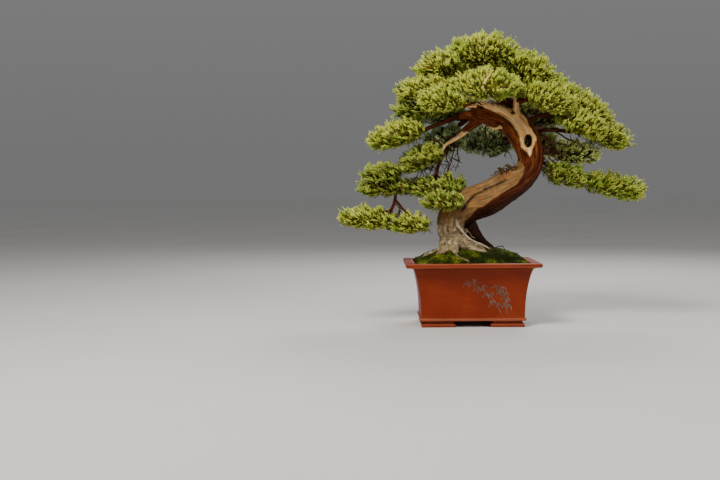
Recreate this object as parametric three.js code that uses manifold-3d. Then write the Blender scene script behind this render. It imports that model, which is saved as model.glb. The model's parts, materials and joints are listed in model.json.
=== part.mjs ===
// A sierra juniper bonsai in its pot: one old leaning trunk with dead wood and a hollow, its roots and
// branches, the foliage pads that the branches carry, moss, soil, a rectangular pot and two drain screens.
// Millimetres, +Z up, the front of the tree towards -Y. The origin is at the bottom centre of the box that
// holds the whole tree and pot. All places below are measured from the middle of the pot's foot plane.
import * as THREE from "three";
import { ConvexGeometry } from "three/addons/geometries/ConvexGeometry.js";
import { mergeVertices } from "three/addons/utils/BufferGeometryUtils.js";
import Module from "manifold-3d";

const wasm = await Module();
wasm.setup();

// The pot: outer sizes over the rim, and its profile as how far each level stands in from the rim's edge.
const POT_LENGTH = 400;
const POT_DEPTH = 290;
const POT_HEIGHT = 192;
const RIM_THICK = 12;
const RIM_WIDTH = 28;
const WALL_IN = 46; // the upright wall's face, in from the rim's edge
const MOULDING_IN = 42; // the small moulding round the base
const MOULDING_LOW = 19;
const MOULDING_HIGH = 27;
const WALL_THICK = 11;
const FLOOR_TOP = 32;
const CORNER = 5; // corner radius in plan
const FOOT_HEIGHT = 10;
const FOOT_LENGTH = 100; // along the pot's front and back
const FOOT_LENGTH_SIDE = 80; // and along its sides
const FOOT_WIDTH = 26;
const FOOT_IN = 47;
const FOOT_NECK_IN = 6; // how far the foot's neck stands back from the foot itself
const DRAIN_RADIUS = 14;
const DRAIN_X = 70;
const SCREEN_SIDE = 44;
const SCREEN_THICK = 1.6;
const SCREEN_HOLE = 5;
const SCREEN_PITCH = 9;

// The planting: a mound of soil under a carpet of moss.
const GAP = 0.35; // between pieces that touch
const MOUND_EDGE = 186; // the height of its edge
const MOUND_RISE = 43; // and how much higher its top is
const MOUND_PLAN = 0.97; // its size in plan, as a share of the pot's mouth
const MOSS_THICK = 9;
const MOSS_BUMP = 3.2;

// The foliage: pointed tufts of scale-leaf shoots cover a small bushy core on each pad.
const TUFT_LENGTH = 27;
const TUFT_LENGTH_UNDER = 12; // on a pad's underside
const CORE_INSET = [25, 25, 16]; // how far the core stays inside the reach of the tufts
const CORE_LUMPS = [0.95, 1.03]; // its lumps, as shares of its size
const CORE_CORNERS = 23; // and its corners: these, and one more for every CORNER_SHARE square millimetres
const CORNER_SHARE = 620;
const UNDERSIDE = 0.8; // a pad's depth below its middle, as a share of its height above
const PAD_CLEARANCE = 2.5;

// A seeded random number generator, from 0 to 1.
function seeded(seed) {
  let state = seed >>> 0;
  return () => {
    state = (state + 0x6d2b79f5) >>> 0;
    let t = Math.imul(state ^ (state >>> 15), 1 | state);
    t = (t + Math.imul(t ^ (t >>> 7), 61 | t)) ^ t;
    return ((t ^ (t >>> 14)) >>> 0) / 4294967296;
  };
}

// Solids and geometries.
function solidOf(geometry) {
  const bare = geometry.clone();
  for (const name of Object.keys(bare.attributes)) {
    if (name !== "position") bare.deleteAttribute(name);
  }
  const merged = mergeVertices(bare, 1e-4);
  const mesh = new wasm.Mesh({
    numProp: 3,
    vertProperties: new Float32Array(merged.attributes.position.array),
    triVerts: new Uint32Array(merged.index.array),
  });
  return new wasm.Manifold(mesh);
}

function geometryOf(solid) {
  const mesh = solid.getMesh();
  return new THREE.BufferGeometry()
    .setAttribute("position", new THREE.BufferAttribute(new Float32Array(mesh.vertProperties), 3))
    .setIndex(new THREE.BufferAttribute(new Uint32Array(mesh.triVerts), 1));
}

function fuse(solids) {
  return solids.reduce((whole, solid) => whole.add(solid));
}

// Drops loose scraps and fills sealed hollows: the outer skin of the largest body stays.
function largestBody(solid) {
  return solid.decompose().sort((a, b) => b.volume() - a.volume())[0];
}

// A closed skin: a three.js cylinder whose rings are put where place(level, step) says. The middle of each
// end cap is place(level, null).
function skin(around, levels, place) {
  const geometry = new THREE.CylinderGeometry(1, 1, 1, around, levels);
  const position = geometry.getAttribute("position");
  for (let i = 0; i < position.count; i++) {
    const [x, y, z] = [position.getX(i), position.getY(i), position.getZ(i)];
    const level = Math.round((0.5 - y) * levels);
    const turn = Math.atan2(x, z) / (2 * Math.PI) + 1;
    const step = Math.hypot(x, z) < 1e-6 ? null : Math.round(turn * around) % around;
    position.setXYZ(i, ...place(level, step).toArray());
  }
  return geometry;
}

// A tapered, bent limb. Its path is a list of [x, y, z, radius]. Ridges run along it and may twist.
function limb(path, { around = 6, steps = 10, flat = 1, ridges = 0, ridge = 0, twist = 0, grow = 0 } = {}) {
  const curve = new THREE.CatmullRomCurve3(path.map(([x, y, z]) => new THREE.Vector3(x, y, z)));
  const radiusAt = (t) => {
    const place = t * (path.length - 1);
    const low = Math.min(Math.floor(place), path.length - 2);
    return THREE.MathUtils.lerp(path[low][3], path[low + 1][3], place - low) + grow;
  };
  const across = new THREE.Vector3(0.03, -1, 0.05);
  const rings = [];
  for (let i = 0; i <= steps; i++) {
    const t = i / steps;
    const centre = curve.getPoint(t);
    const along = curve.getTangent(t);
    if (i === 0 && Math.abs(across.dot(along)) > 0.9) across.set(0, 0.1, 1);
    across.addScaledVector(along, -across.dot(along)).normalize();
    const beside = new THREE.Vector3().crossVectors(across, along);
    if (i === 0) centre.addScaledVector(along, -grow);
    if (i === steps) centre.addScaledVector(along, grow);
    rings.push({ t, centre, across: across.clone(), beside, radius: radiusAt(t) });
  }
  return solidOf(
    skin(around, steps, (level, step) => {
      const ring = rings[level];
      if (step === null) return ring.centre.clone();
      const angle = (2 * Math.PI * step) / around;
      const reach = ring.radius * (1 + ridge * Math.sin(ridges * angle + twist * ring.t));
      return ring.centre
        .clone()
        .addScaledVector(ring.across, Math.cos(angle) * reach * flat)
        .addScaledVector(ring.beside, Math.sin(angle) * reach);
    }),
  );
}

// The pot. A ring in plan is a rectangle with round corners, "inset" in from the rim's edge.
const CORNER_STEPS = 3;
const PLAN_STEPS = 4 * CORNER_STEPS;

function planPoint(inset, height, step) {
  if (step === null) return new THREE.Vector3(0, 0, height);
  const quarter = Math.floor(step / CORNER_STEPS);
  const share = (step % CORNER_STEPS) / (CORNER_STEPS - 1);
  const angle = -(quarter + share) * (Math.PI / 2);
  const middle = -(quarter + 0.5) * (Math.PI / 2);
  const centreX = Math.sign(Math.cos(middle)) * (POT_LENGTH / 2 - inset - CORNER);
  const centreY = Math.sign(Math.sin(middle)) * (POT_DEPTH / 2 - inset - CORNER);
  return new THREE.Vector3(centreX + CORNER * Math.cos(angle), centreY + CORNER * Math.sin(angle), height);
}

const RIM_LOW = POT_HEIGHT - RIM_THICK;
const OUTER_PROFILE = [
  [MOULDING_IN + 8, MOULDING_LOW],
  [MOULDING_IN + 1, MOULDING_LOW],
  [MOULDING_IN, MOULDING_LOW + 2],
  [MOULDING_IN, MOULDING_HIGH - 2],
  [WALL_IN, MOULDING_HIGH],
  [WALL_IN - 1, 60],
  [WALL_IN - 4, 95],
  [WALL_IN - 9, 128],
  [WALL_IN - 16, 158],
  [WALL_IN - 23, RIM_LOW - 5],
  [14, RIM_LOW - 2],
  [2, RIM_LOW],
  [0, RIM_LOW + 3],
  [0, POT_HEIGHT - 3],
  [2, POT_HEIGHT],
];
const INNER_PROFILE = [
  [RIM_WIDTH - 2, POT_HEIGHT],
  [RIM_WIDTH, POT_HEIGHT - 3],
  [RIM_WIDTH + 12, 140],
  [WALL_IN + WALL_THICK - 3, 90],
  [WALL_IN + WALL_THICK, FLOOR_TOP + 6],
  [WALL_IN + WALL_THICK + 6, FLOOR_TOP],
];

// One L-shaped corner foot, quadrant given by the signs of x and y.
function foot(signX, signY) {
  const slab = (inset, width, lengthX, lengthY, low, high) => {
    const x = POT_LENGTH / 2 - inset;
    const y = POT_DEPTH / 2 - inset;
    const outline = [
      [x, y],
      [x, y - lengthY],
      [x - width, y - lengthY],
      [x - width, y - width],
      [x - lengthX, y - width],
      [x - lengthX, y],
    ];
    const points = outline.map(([px, py]) => new THREE.Vector2(signX * px, signY * py));
    const shape = new THREE.Shape(points);
    const block = new THREE.ExtrudeGeometry(shape, { depth: high - low, bevelEnabled: false });
    return solidOf(block.translate(0, 0, low));
  };
  const sole = slab(FOOT_IN, FOOT_WIDTH, FOOT_LENGTH, FOOT_LENGTH_SIDE, 0, FOOT_HEIGHT);
  const neckIn = FOOT_IN + FOOT_NECK_IN;
  const neckLengths = [FOOT_LENGTH - 12, FOOT_LENGTH_SIDE - 9.6];
  const neck = slab(neckIn, FOOT_WIDTH - 9, ...neckLengths, FOOT_HEIGHT - 1, MOULDING_LOW + 4);
  return sole.add(neck);
}

function makePot() {
  const profile = [...OUTER_PROFILE, ...INNER_PROFILE];
  const body = solidOf(
    skin(PLAN_STEPS, profile.length - 1, (level, step) => planPoint(...profile[level], step)),
  );
  const feet = [foot(1, 1), foot(-1, 1), foot(-1, -1), foot(1, -1)];
  const drains = [-DRAIN_X, DRAIN_X].map((x) => {
    const bore = new THREE.CylinderGeometry(DRAIN_RADIUS, DRAIN_RADIUS, 2 * FLOOR_TOP, 14);
    return solidOf(bore.rotateX(Math.PI / 2).translate(x, 0, FLOOR_TOP));
  });
  return fuse([body, ...feet]).subtract(fuse(drains));
}

// A plastic screen over a drain hole, with a grid of square holes.
function makeScreen(x) {
  const sheet = new THREE.BoxGeometry(SCREEN_SIDE, SCREEN_SIDE, SCREEN_THICK);
  const holes = [];
  for (const i of [-0.5, 0.5]) {
    for (const j of [-0.5, 0.5]) {
      const hole = new THREE.BoxGeometry(SCREEN_HOLE, SCREEN_HOLE, 2 * SCREEN_THICK);
      holes.push(solidOf(hole.translate(i * SCREEN_PITCH, j * SCREEN_PITCH, 0)));
    }
  }
  return solidOf(sheet).subtract(fuse(holes)).translate(x, 0, FLOOR_TOP + GAP + SCREEN_THICK / 2);
}

// The planting. The mound's rings run from the middle to the pot's inner wall, at these shares of the way.
const MOUND_AROUND = 20;
const MOUND_SHARES = [0.3, 0.55, 0.78, 0.93, 1];
const PLANT_X = POT_LENGTH / 2 - RIM_WIDTH - GAP;
const PLANT_Y = POT_DEPTH / 2 - RIM_WIDTH - GAP;

function moundHeight(x, y) {
  const flatness = 3.4; // the higher, the flatter its top and the steeper its edge
  const fall = (1 - Math.abs(x / PLANT_X) ** flatness) * (1 - Math.abs(y / PLANT_Y) ** flatness);
  return MOUND_EDGE + MOUND_RISE * Math.max(0, fall);
}

function mossBump(x, y) {
  return MOSS_BUMP * (Math.sin(x / 11 + 1.3) * Math.cos(y / 9) + 0.6 * Math.sin(x / 23 - y / 17 + 0.4));
}

// A ring of the mound is a rectangle with round corners, turning clockwise from above.
function moundPoint(share, step, lift) {
  if (step === null) return new THREE.Vector3(0, 0, moundHeight(0, 0) + lift(0, 0));
  const angle = (-2 * Math.PI * step) / MOUND_AROUND;
  const square = 7; // the higher, the squarer
  const reach = (Math.abs(Math.cos(angle)) ** square + Math.abs(Math.sin(angle)) ** square) ** (-1 / square);
  const x = share * MOUND_PLAN * PLANT_X * reach * Math.cos(angle);
  const y = share * MOUND_PLAN * PLANT_Y * reach * Math.sin(angle);
  return new THREE.Vector3(x, y, moundHeight(x, y) + lift(x, y));
}

// The moss is made deeper than it is, and the raised soil then cuts its underside.
function makeMoss(soil) {
  const rings = [
    [0.9, () => -2 * MOSS_THICK],
    [1, () => GAP - MOSS_THICK],
    ...[...MOUND_SHARES].reverse().map((share) => [share, mossBump]),
  ];
  const place = (level, step) => moundPoint(rings[level][0], step, rings[level][1]);
  return solidOf(skin(MOUND_AROUND, rings.length - 1, place)).subtract(soil.translate(0, 0, GAP));
}

function makeSoil() {
  const wall = [...INNER_PROFILE].reverse().slice(0, 4);
  const under = () => -MOSS_THICK;
  const levels = [
    ...wall.map(([inset, height]) => (step) => {
      const flat = moundPoint(1, step, () => 0);
      if (step === null) return new THREE.Vector3(0, 0, height + GAP);
      const shrinkX = (POT_LENGTH / 2 - inset - GAP) / PLANT_X;
      const shrinkY = (POT_DEPTH / 2 - inset - GAP) / PLANT_Y;
      return new THREE.Vector3(flat.x * shrinkX, flat.y * shrinkY, height + GAP);
    }),
    ...[...MOUND_SHARES].reverse().map((share) => (step) => moundPoint(share, step, under)),
  ];
  const block = solidOf(skin(MOUND_AROUND, levels.length - 1, (level, step) => levels[level](step)));
  const pockets = [-DRAIN_X, DRAIN_X].map((x) => {
    const side = SCREEN_SIDE + 2 * GAP;
    const pocket = new THREE.BoxGeometry(side, side, 2 * (SCREEN_THICK + 2 * GAP));
    return solidOf(pocket.translate(x, 0, FLOOR_TOP));
  });
  return block.subtract(fuse(pockets));
}

// The wood. The trunk leans right out of its roots, turns up and back over itself, and ends to the left.
const TRUNK = [
  [-50, 2, 172, 44],
  [-51, 1, 205, 50],
  [-50, 0, 238, 43],
  [-51, 0, 268, 40],
  [-56, 0, 300, 44],
  [-44, -2, 334, 48],
  [-4, -5, 362, 50],
  [50, -10, 382, 50],
  [102, -15, 413, 47],
  [145, -20, 440, 42],
  [173, -25, 470, 37],
  [181, -28, 502, 37],
  [172, -28, 540, 42],
  [152, -25, 580, 44],
  [124, -20, 610, 41],
  [88, -14, 628, 37],
  [52, -8, 636, 31],
  [20, -2, 638, 22],
];
const ROOTS = [
  [
    [-62, -6, 244, 26], [-88, -13, 223, 15], [-112, -19, 215, 10.5],
    [-138, -22, 207, 7], [-154, -24, 192, 4],
  ],
  [[-66, -22, 246, 22], [-84, -44, 225, 15], [-99, -60, 212, 10], [-110, -72, 194, 5]],
  [[-54, -26, 248, 22], [-56, -52, 228, 17], [-50, -70, 213, 11], [-44, -84, 194, 5]],
  [[-36, -22, 258, 18], [-14, -42, 238, 14], [16, -52, 226, 9], [46, -58, 217, 6], [68, -64, 200, 3]],
  [
    [-48, -38, 326, 5], [-34, -42, 298, 7.5], [-14, -44, 272, 8],
    [12, -46, 250, 7], [44, -40, 233, 5.5], [72, -34, 212, 3],
  ],
  [[-16, 12, 292, 38], [12, 18, 264, 25], [42, 26, 243, 14], [72, 34, 226, 7], [92, 40, 202, 3]],
  [[-62, 24, 250, 22], [-80, 48, 229, 13], [-94, 66, 209, 7], [-102, 78, 188, 3]],
  [[-46, 32, 256, 22], [-36, 66, 232, 13], [-26, 90, 212, 7], [-20, 106, 184, 3]],
];
// Dead branches and the lips of dead wood round the hollow.
const DEADWOOD = [
  [
    [156, -40, 584, 13], [137, -40, 612, 15], [112, -37, 636, 15],
    [72, -34, 655, 12], [27, -34, 668, 7.5], [-12, -36, 686, 3],
  ],
  [[142, -40, 604, 13], [136, -42, 640, 11], [134, -40, 668, 9], [133, -36, 690, 5]],
  [[46, -36, 660, 5], [48, -42, 676, 3.5], [53, -46, 688, 1.8]],
  [[16, -28, 660, 5.5], [-6, -36, 656, 4], [-22, -42, 649, 2]],
  [
    [172, -54, 504, 6], [184, -57, 526, 7.5], [186, -57, 556, 8],
    [173, -52, 580, 10], [152, -44, 596, 12],
  ],
  [[172, -54, 504, 6], [157, -57, 529, 7.5], [151, -55, 556, 7.5], [149, -48, 586, 11]],
  [[98, -24, 444, 10], [92, -34, 464, 6], [86, -40, 476, 2]],
  [[120, -26, 458, 9], [122, -38, 474, 5], [118, -44, 486, 2]],
  [[138, -22, 462, 10], [142, -30, 482, 5.5], [148, -32, 494, 2.5]],
  [[-10, 6, 588, 9], [-34, 2, 570, 8], [-56, -8, 556, 6.5], [-74, -16, 545, 5], [-89, -22, 517, 2.5]],
  [[90, -40, 596, 5], [70, -52, 590, 4], [50, -58, 596, 2.2]],
  [[56, 6, 700, 7], [66, -26, 726, 5], [72, -44, 748, 2.5]],
];
const HOLLOW = { x: 168, z: 553, halfWidth: 12.5, halfHeight: 20, lean: 0.12 };
const CRACK = [
  [98, -51, 436, 4], [70, -51, 423, 5.5], [26, -50, 403, 5.5],
  [-4, -49, 382, 5], [-28, -47, 356, 3],
];

// The living branches, thickest first.
const BRANCHES = [
  [
    [118, -6, 618, 30], [116, 6, 652, 24], [98, 12, 690, 18],
    [78, 10, 730, 13], [58, 4, 776, 8], [46, 0, 812, 4],
  ],
  [
    [40, 0, 640, 21], [16, 4, 612, 14], [-14, 6, 588, 10], [-48, 16, 556, 8],
    [-76, 20, 524, 7], [-96, 14, 478, 5.5], [-104, 8, 436, 4.5], [-96, 8, 410, 3],
  ],
  [
    [28, -2, 640, 16], [-34, 2, 630, 9], [-100, -6, 606, 6.5],
    [-150, -12, 586, 5.5], [-196, -16, 574, 4.5], [-240, -14, 566, 3],
  ],
  [
    [46, -4, 646, 15], [8, -14, 662, 11], [-50, -22, 672, 8],
    [-104, -26, 690, 5.5], [-152, -28, 702, 3],
  ],
  [[-34, -14, 668, 7], [-84, -4, 648, 5.5], [-136, 2, 644, 4], [-178, 4, 646, 2.5]],
  [
    [-70, 20, 532, 8], [-120, 6, 506, 7], [-172, -8, 486, 6], [-214, -14, 468, 5.5],
    [-246, -4, 436, 4.5], [-280, 10, 412, 3.5], [-310, 18, 404, 2.5],
  ],
  [[-208, -12, 470, 5], [-240, -18, 462, 4], [-282, -20, 460, 2.5]],
  [
    [-238, -8, 444, 5], [-226, 0, 404, 5], [-232, -4, 368, 4.5],
    [-254, -8, 330, 4], [-300, -10, 312, 3], [-340, -10, 310, 2],
  ],
  [[-228, -2, 380, 3.5], [-196, -10, 344, 3], [-164, -12, 324, 2.4]],
  [[-100, 10, 456, 4], [-104, -24, 410, 3.2], [-96, -52, 382, 2.4]],
  [[90, 12, 704, 12], [30, 0, 738, 8], [-30, -12, 756, 6], [-84, -20, 766, 3.5]],
  [[94, 10, 698, 11], [132, -6, 738, 8], [156, -14, 756, 5], [174, -18, 768, 3]],
  [[112, 6, 664, 12], [170, 6, 682, 9], [226, 2, 688, 6.5], [282, 0, 688, 3.5]],
  [[158, -6, 600, 18], [196, 2, 626, 9], [250, 0, 636, 6.5], [310, -10, 634, 5], [362, -16, 636, 3]],
  [[170, 0, 574, 16], [222, 10, 588, 7.5], [290, 8, 584, 6], [350, 4, 576, 5], [420, 0, 574, 3]],
  [[180, 0, 540, 14], [226, 14, 532, 6.5], [280, 22, 514, 5], [336, 22, 500, 3]],
  [
    [184, -6, 512, 14], [222, 4, 490, 7], [268, 0, 462, 6],
    [330, -4, 436, 5], [400, -2, 414, 4], [460, 0, 398, 2.5],
  ],
  [[160, 10, 590, 16], [146, 62, 580, 11], [118, 112, 552, 8], [84, 150, 524, 4]],
  [[150, 6, 612, 16], [176, 66, 622, 10], [196, 120, 626, 7], [208, 158, 628, 3.5]],
  [[192, 104, 622, 8], [216, 124, 592, 6], [232, 144, 556, 4.5], [236, 154, 534, 3]],
  [[98, 14, 686, 11], [86, 70, 706, 8], [70, 120, 722, 5.5], [62, 150, 730, 3]],
  [[30, 2, 632, 14], [-6, 64, 628, 9], [-46, 112, 632, 6.5], [-80, 150, 636, 3.5]],
  [[-4, 52, 624, 8], [-44, 72, 596, 6], [-86, 70, 568, 3.5]],
  [[104, 4, 678, 10], [76, -60, 696, 7], [46, -108, 702, 5], [30, -136, 704, 3]],
  [[118, -4, 668, 10], [146, -52, 674, 7], [178, -94, 670, 5], [216, -118, 664, 3]],
  [[-40, -20, 670, 6], [-66, -76, 664, 5], [-92, -124, 660, 3]],
  [[262, -2, 636, 5.5], [286, -60, 612, 5], [312, -110, 584, 3]],
];

function hollowBore() {
  const bore = new THREE.CylinderGeometry(1, 1, 220, 10);
  bore.scale(HOLLOW.halfWidth, 1, HOLLOW.halfHeight);
  return solidOf(bore.rotateY(HOLLOW.lean).translate(HOLLOW.x, 0, HOLLOW.z));
}

// The trunk and its roots, each limb fatter by "grow".
function trunkLimbs(grow) {
  const trunk = limb(TRUNK, { around: 13, steps: 26, flat: 0.9, ridges: 4, ridge: 0.06, twist: 6, grow });
  const roots = ROOTS.map((root) => limb(root, { around: 5, steps: 4, ridges: 2, ridge: 0.12, grow }));
  return [trunk, ...roots];
}

function deadLimb(path, grow) {
  return limb(path, { around: 5, steps: 2 * path.length - 3, ridges: 2, ridge: 0.1, grow });
}

function branchLimb(path, grow) {
  return limb(path, { around: path[0][3] > 11 ? 5 : 4, steps: path.length, grow });
}

function makeTrunk() {
  const deadwood = DEADWOOD.map((path) => deadLimb(path, 0));
  const branches = BRANCHES.map((path) => branchLimb(path, 0));
  const wood = fuse([...trunkLimbs(0), ...deadwood, ...branches]);
  const crack = limb(CRACK, { around: 4, steps: 6 });
  return largestBody(wood.subtract(hollowBore()).subtract(crack));
}

// The foliage pads: [name, place of the middle, reach of the tufts, slope in x and y, tone].
const PADS = [
  ["apex", [42, 2, 815], [123, 112, 60], [0, 0], "bright"],
  ["crown_left", [-88, -14, 776], [96, 96, 50], [0.25, 0], "bright"],
  ["crown_right", [178, -16, 762], [98, 98, 58], [-0.5, 0], "bright"],
  ["crown_front", [38, -138, 704], [118, 86, 54], [0, 0.2], "bright"],
  ["crown_front_right", [226, -124, 664], [92, 84, 50], [-0.3, 0.15], "bright"],
  ["crown_back", [62, 142, 752], [134, 102, 62], [0, -0.2], "middle"],
  ["left_high", [-134, -30, 703], [108, 98, 46], [0.15, 0], "bright"],
  ["left_front", [-90, -140, 664], [92, 76, 42], [0.1, 0.1], "bright"],
  ["left_middle", [-138, 8, 652], [114, 94, 42], [0.1, 0], "middle"],
  ["left_long", [-222, -14, 568], [102, 84, 48], [0.3, 0], "bright"],
  ["left_back", [-84, 152, 646], [108, 88, 46], [0.1, -0.1], "shaded"],
  ["inner_left", [-76, 62, 550], [86, 80, 58], [0.3, 0], "shaded"],
  ["inner_back", [70, 148, 553], [112, 84, 56], [0, 0], "shaded"],
  ["right_high", [276, 0, 684], [94, 102, 56], [-0.5, 0], "bright"],
  ["right_shoulder", [350, -16, 634], [92, 98, 54], [-0.55, 0], "bright"],
  ["right_front", [320, -124, 590], [88, 76, 44], [-0.3, 0.1], "bright"],
  ["right_back", [216, 160, 634], [112, 92, 50], [-0.2, -0.1], "shaded"],
  ["right_long", [405, 2, 570], [94, 92, 50], [-0.45, 0], "bright"],
  ["right_inner", [334, 24, 512], [88, 80, 40], [-0.1, 0], "shaded"],
  ["right_low_back", [238, 156, 540], [98, 84, 50], [-0.1, -0.1], "shaded"],
  ["right_low_inner", [292, -4, 443], [88, 78, 42], [-0.3, 0], "middle"],
  ["right_low_tip", [440, 0, 407], [112, 84, 42], [-0.22, 0], "bright"],
  ["left_lower", [-150, -8, 496], [84, 74, 44], [0.4, 0], "middle"],
  ["left_lower_tip", [-266, -20, 452], [76, 66, 38], [0.1, 0], "middle"],
  ["left_low", [-258, 12, 413], [106, 76, 36], [0.05, 0], "middle"],
  ["low_middle", [-100, 14, 412], [114, 74, 38], [0.05, 0], "middle"],
  ["low_front", [-84, -62, 368], [84, 56, 33], [0.05, 0], "middle"],
  ["bottom_left", [-314, -10, 316], [106, 76, 38], [-0.05, 0], "bright"],
  ["bottom_inner", [-186, -14, 299], [84, 60, 33], [0, 0], "bright"],
  ["crown_inner", [152, -36, 704], [74, 66, 44], [-0.2, 0.1], "bright"],
];

// Maps a point of the unit ball into a pad's core.
function intoCore([, place, reach, slope], unit) {
  const half = reach.map((value, i) => value - CORE_INSET[i]);
  const x = unit.x * half[0];
  const y = unit.y * half[1];
  const z = unit.z * half[2] * (unit.z < 0 ? UNDERSIDE : 1) + slope[0] * x + slope[1] * y;
  return new THREE.Vector3(place[0] + x, place[1] + y, place[2] + z);
}

// How far out a point lies in a pad's core: below 1 is inside.
function outFromCore([, place, reach, slope], point, grow) {
  const half = reach.map((value, i) => value - CORE_INSET[i] + grow);
  const x = point.x - place[0];
  const y = point.y - place[1];
  const z = point.z - place[2] - slope[0] * x - slope[1] * y;
  return Math.hypot(x / half[0], y / half[1], z / (half[2] * (z < 0 ? UNDERSIDE : 1)));
}

// Evenly spread corners of a ball, joined up. TURN is the angle from each corner to the next.
const TURN = 2.4;

function lumpyBall(corners, random) {
  const points = [];
  for (let i = 0; i < corners; i++) {
    const height = 1 - (2 * i + 1) / corners;
    const around = i * TURN + 0.5 * random();
    const flat = Math.sqrt(1 - height * height);
    points.push(new THREE.Vector3(flat * Math.cos(around), flat * Math.sin(around), height));
  }
  const ball = new ConvexGeometry(points);
  ball.deleteAttribute("normal");
  return mergeVertices(ball, 1e-4);
}

// A pad: a low lumpy core, with a pointed tuft drawn out of every face that no other pad lies against.
// All is fatter by "grow".
function makePad(pad, index, grow) {
  const random = seeded(101 + index * 17);
  const [, , reach] = pad;
  const core = lumpyBall(CORE_CORNERS + Math.round((reach[0] * reach[1]) / CORNER_SHARE), random);
  const position = core.getAttribute("position");
  const corners = [];
  for (let i = 0; i < position.count; i++) {
    const unit = new THREE.Vector3().fromBufferAttribute(position, i);
    unit.multiplyScalar(THREE.MathUtils.lerp(...CORE_LUMPS, random()));
    corners.push(intoCore(pad, unit));
    position.setXYZ(i, ...corners[i].toArray());
  }
  core.computeVertexNormals();
  const places = corners.map((corner, i) => {
    const normal = new THREE.Vector3().fromBufferAttribute(core.getAttribute("normal"), i);
    return corner.clone().addScaledVector(normal, grow);
  });
  const faces = [];
  for (let i = 0; i < core.index.count; i += 3) {
    const [a, b, c] = [0, 1, 2].map((k) => core.index.getX(i + k));
    const face = new THREE.Triangle(corners[a], corners[b], corners[c]);
    const out = face.getNormal(new THREE.Vector3());
    const shares = [2 + random(), 2 + random(), 2 + random()];
    const sum = shares[0] + shares[1] + shares[2];
    const root = face.a.clone().multiplyScalar(shares[0] / sum);
    root.addScaledVector(face.b, shares[1] / sum).addScaledVector(face.c, shares[2] / sum);
    const aim = out.clone().add(new THREE.Vector3(0, 0, 0.06)).normalize();
    const free = out.z < -0.4 ? TUFT_LENGTH_UNDER : TUFT_LENGTH * (0.75 + 0.5 * random());
    const middle = root.clone().addScaledVector(aim, free * 0.6);
    const shutIn = PADS.some((other) => other !== pad && outFromCore(other, middle, 4) < CORE_LUMPS[1]);
    if (shutIn) {
      faces.push([a, b, c]);
      continue;
    }
    places.push(root.clone().addScaledVector(aim, free + 3 * grow));
    const tip = places.length - 1;
    faces.push([a, b, tip], [b, c, tip], [c, a, tip]);
  }
  return solidOf(new THREE.BufferGeometry().setFromPoints(places).setIndex(faces.flat()));
}

// The materials, by colour, roughness and metalness.
const MATERIALS = {
  clay: new THREE.MeshStandardMaterial({ color: 0xa63c12, roughness: 0.5, metalness: 0 }),
  bark: new THREE.MeshStandardMaterial({ color: 0x6b3a22, roughness: 0.85, metalness: 0 }),
  soil: new THREE.MeshStandardMaterial({ color: 0x3a2a1e, roughness: 1, metalness: 0 }),
  moss: new THREE.MeshStandardMaterial({ color: 0x34500f, roughness: 1, metalness: 0 }),
  screen: new THREE.MeshStandardMaterial({ color: 0x1c1c1c, roughness: 0.6, metalness: 0 }),
  bright: new THREE.MeshStandardMaterial({ color: 0x8a9c3c, roughness: 0.7, metalness: 0 }),
  middle: new THREE.MeshStandardMaterial({ color: 0x6a7d30, roughness: 0.7, metalness: 0 }),
  shaded: new THREE.MeshStandardMaterial({ color: 0x3c5024, roughness: 0.7, metalness: 0 }),
};

const tree = new THREE.Group();

function addPiece(name, solid, material) {
  const mesh = new THREE.Mesh(geometryOf(solid), material);
  mesh.name = name;
  tree.add(mesh);
}

const trunkBed = fuse(trunkLimbs(GAP));
addPiece("pot", makePot(), MATERIALS.clay);
const soil = makeSoil();
addPiece("soil", largestBody(soil.subtract(trunkBed)), MATERIALS.soil);
addPiece("moss", largestBody(makeMoss(soil).subtract(trunkBed)), MATERIALS.moss);
addPiece("drain_screen_left", makeScreen(-DRAIN_X), MATERIALS.screen);
addPiece("drain_screen_right", makeScreen(DRAIN_X), MATERIALS.screen);
addPiece("trunk", makeTrunk(), MATERIALS.bark);

// Each pad has plain holes for the branches, and stays clear of the pads made before it.
const SLEEVE = GAP + 0.1;
const sleeves = [
  ...trunkLimbs(SLEEVE),
  ...DEADWOOD.map((path) => deadLimb(path, SLEEVE)),
  ...BRANCHES.map((path) => branchLimb(path, SLEEVE)),
];
const boxesMeet = (a, b) => {
  const [boxA, boxB] = [a.boundingBox(), b.boundingBox()];
  return [0, 1, 2].every((i) => boxA.min[i] < boxB.max[i] && boxB.min[i] < boxA.max[i]);
};
const cutters = [...sleeves];
PADS.forEach((pad, index) => {
  let solid = makePad(pad, index, 0);
  for (const cutter of cutters) {
    if (boxesMeet(solid, cutter)) solid = solid.subtract(cutter);
  }
  solid = largestBody(solid);
  cutters.push(makePad(pad, index, PAD_CLEARANCE), solid);
  addPiece("foliage_" + pad[0], solid, MATERIALS[pad[4]]);
});

// The origin goes to the bottom centre of the box round it all.
const box = new THREE.Box3().setFromObject(tree);
const middle = box.getCenter(new THREE.Vector3());
tree.position.set(-middle.x, -middle.y, -box.min.z);

export default tree;
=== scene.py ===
import json
import math

import bpy
import numpy as np
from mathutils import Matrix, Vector, noise
from mathutils.bvhtree import BVHTree


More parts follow.
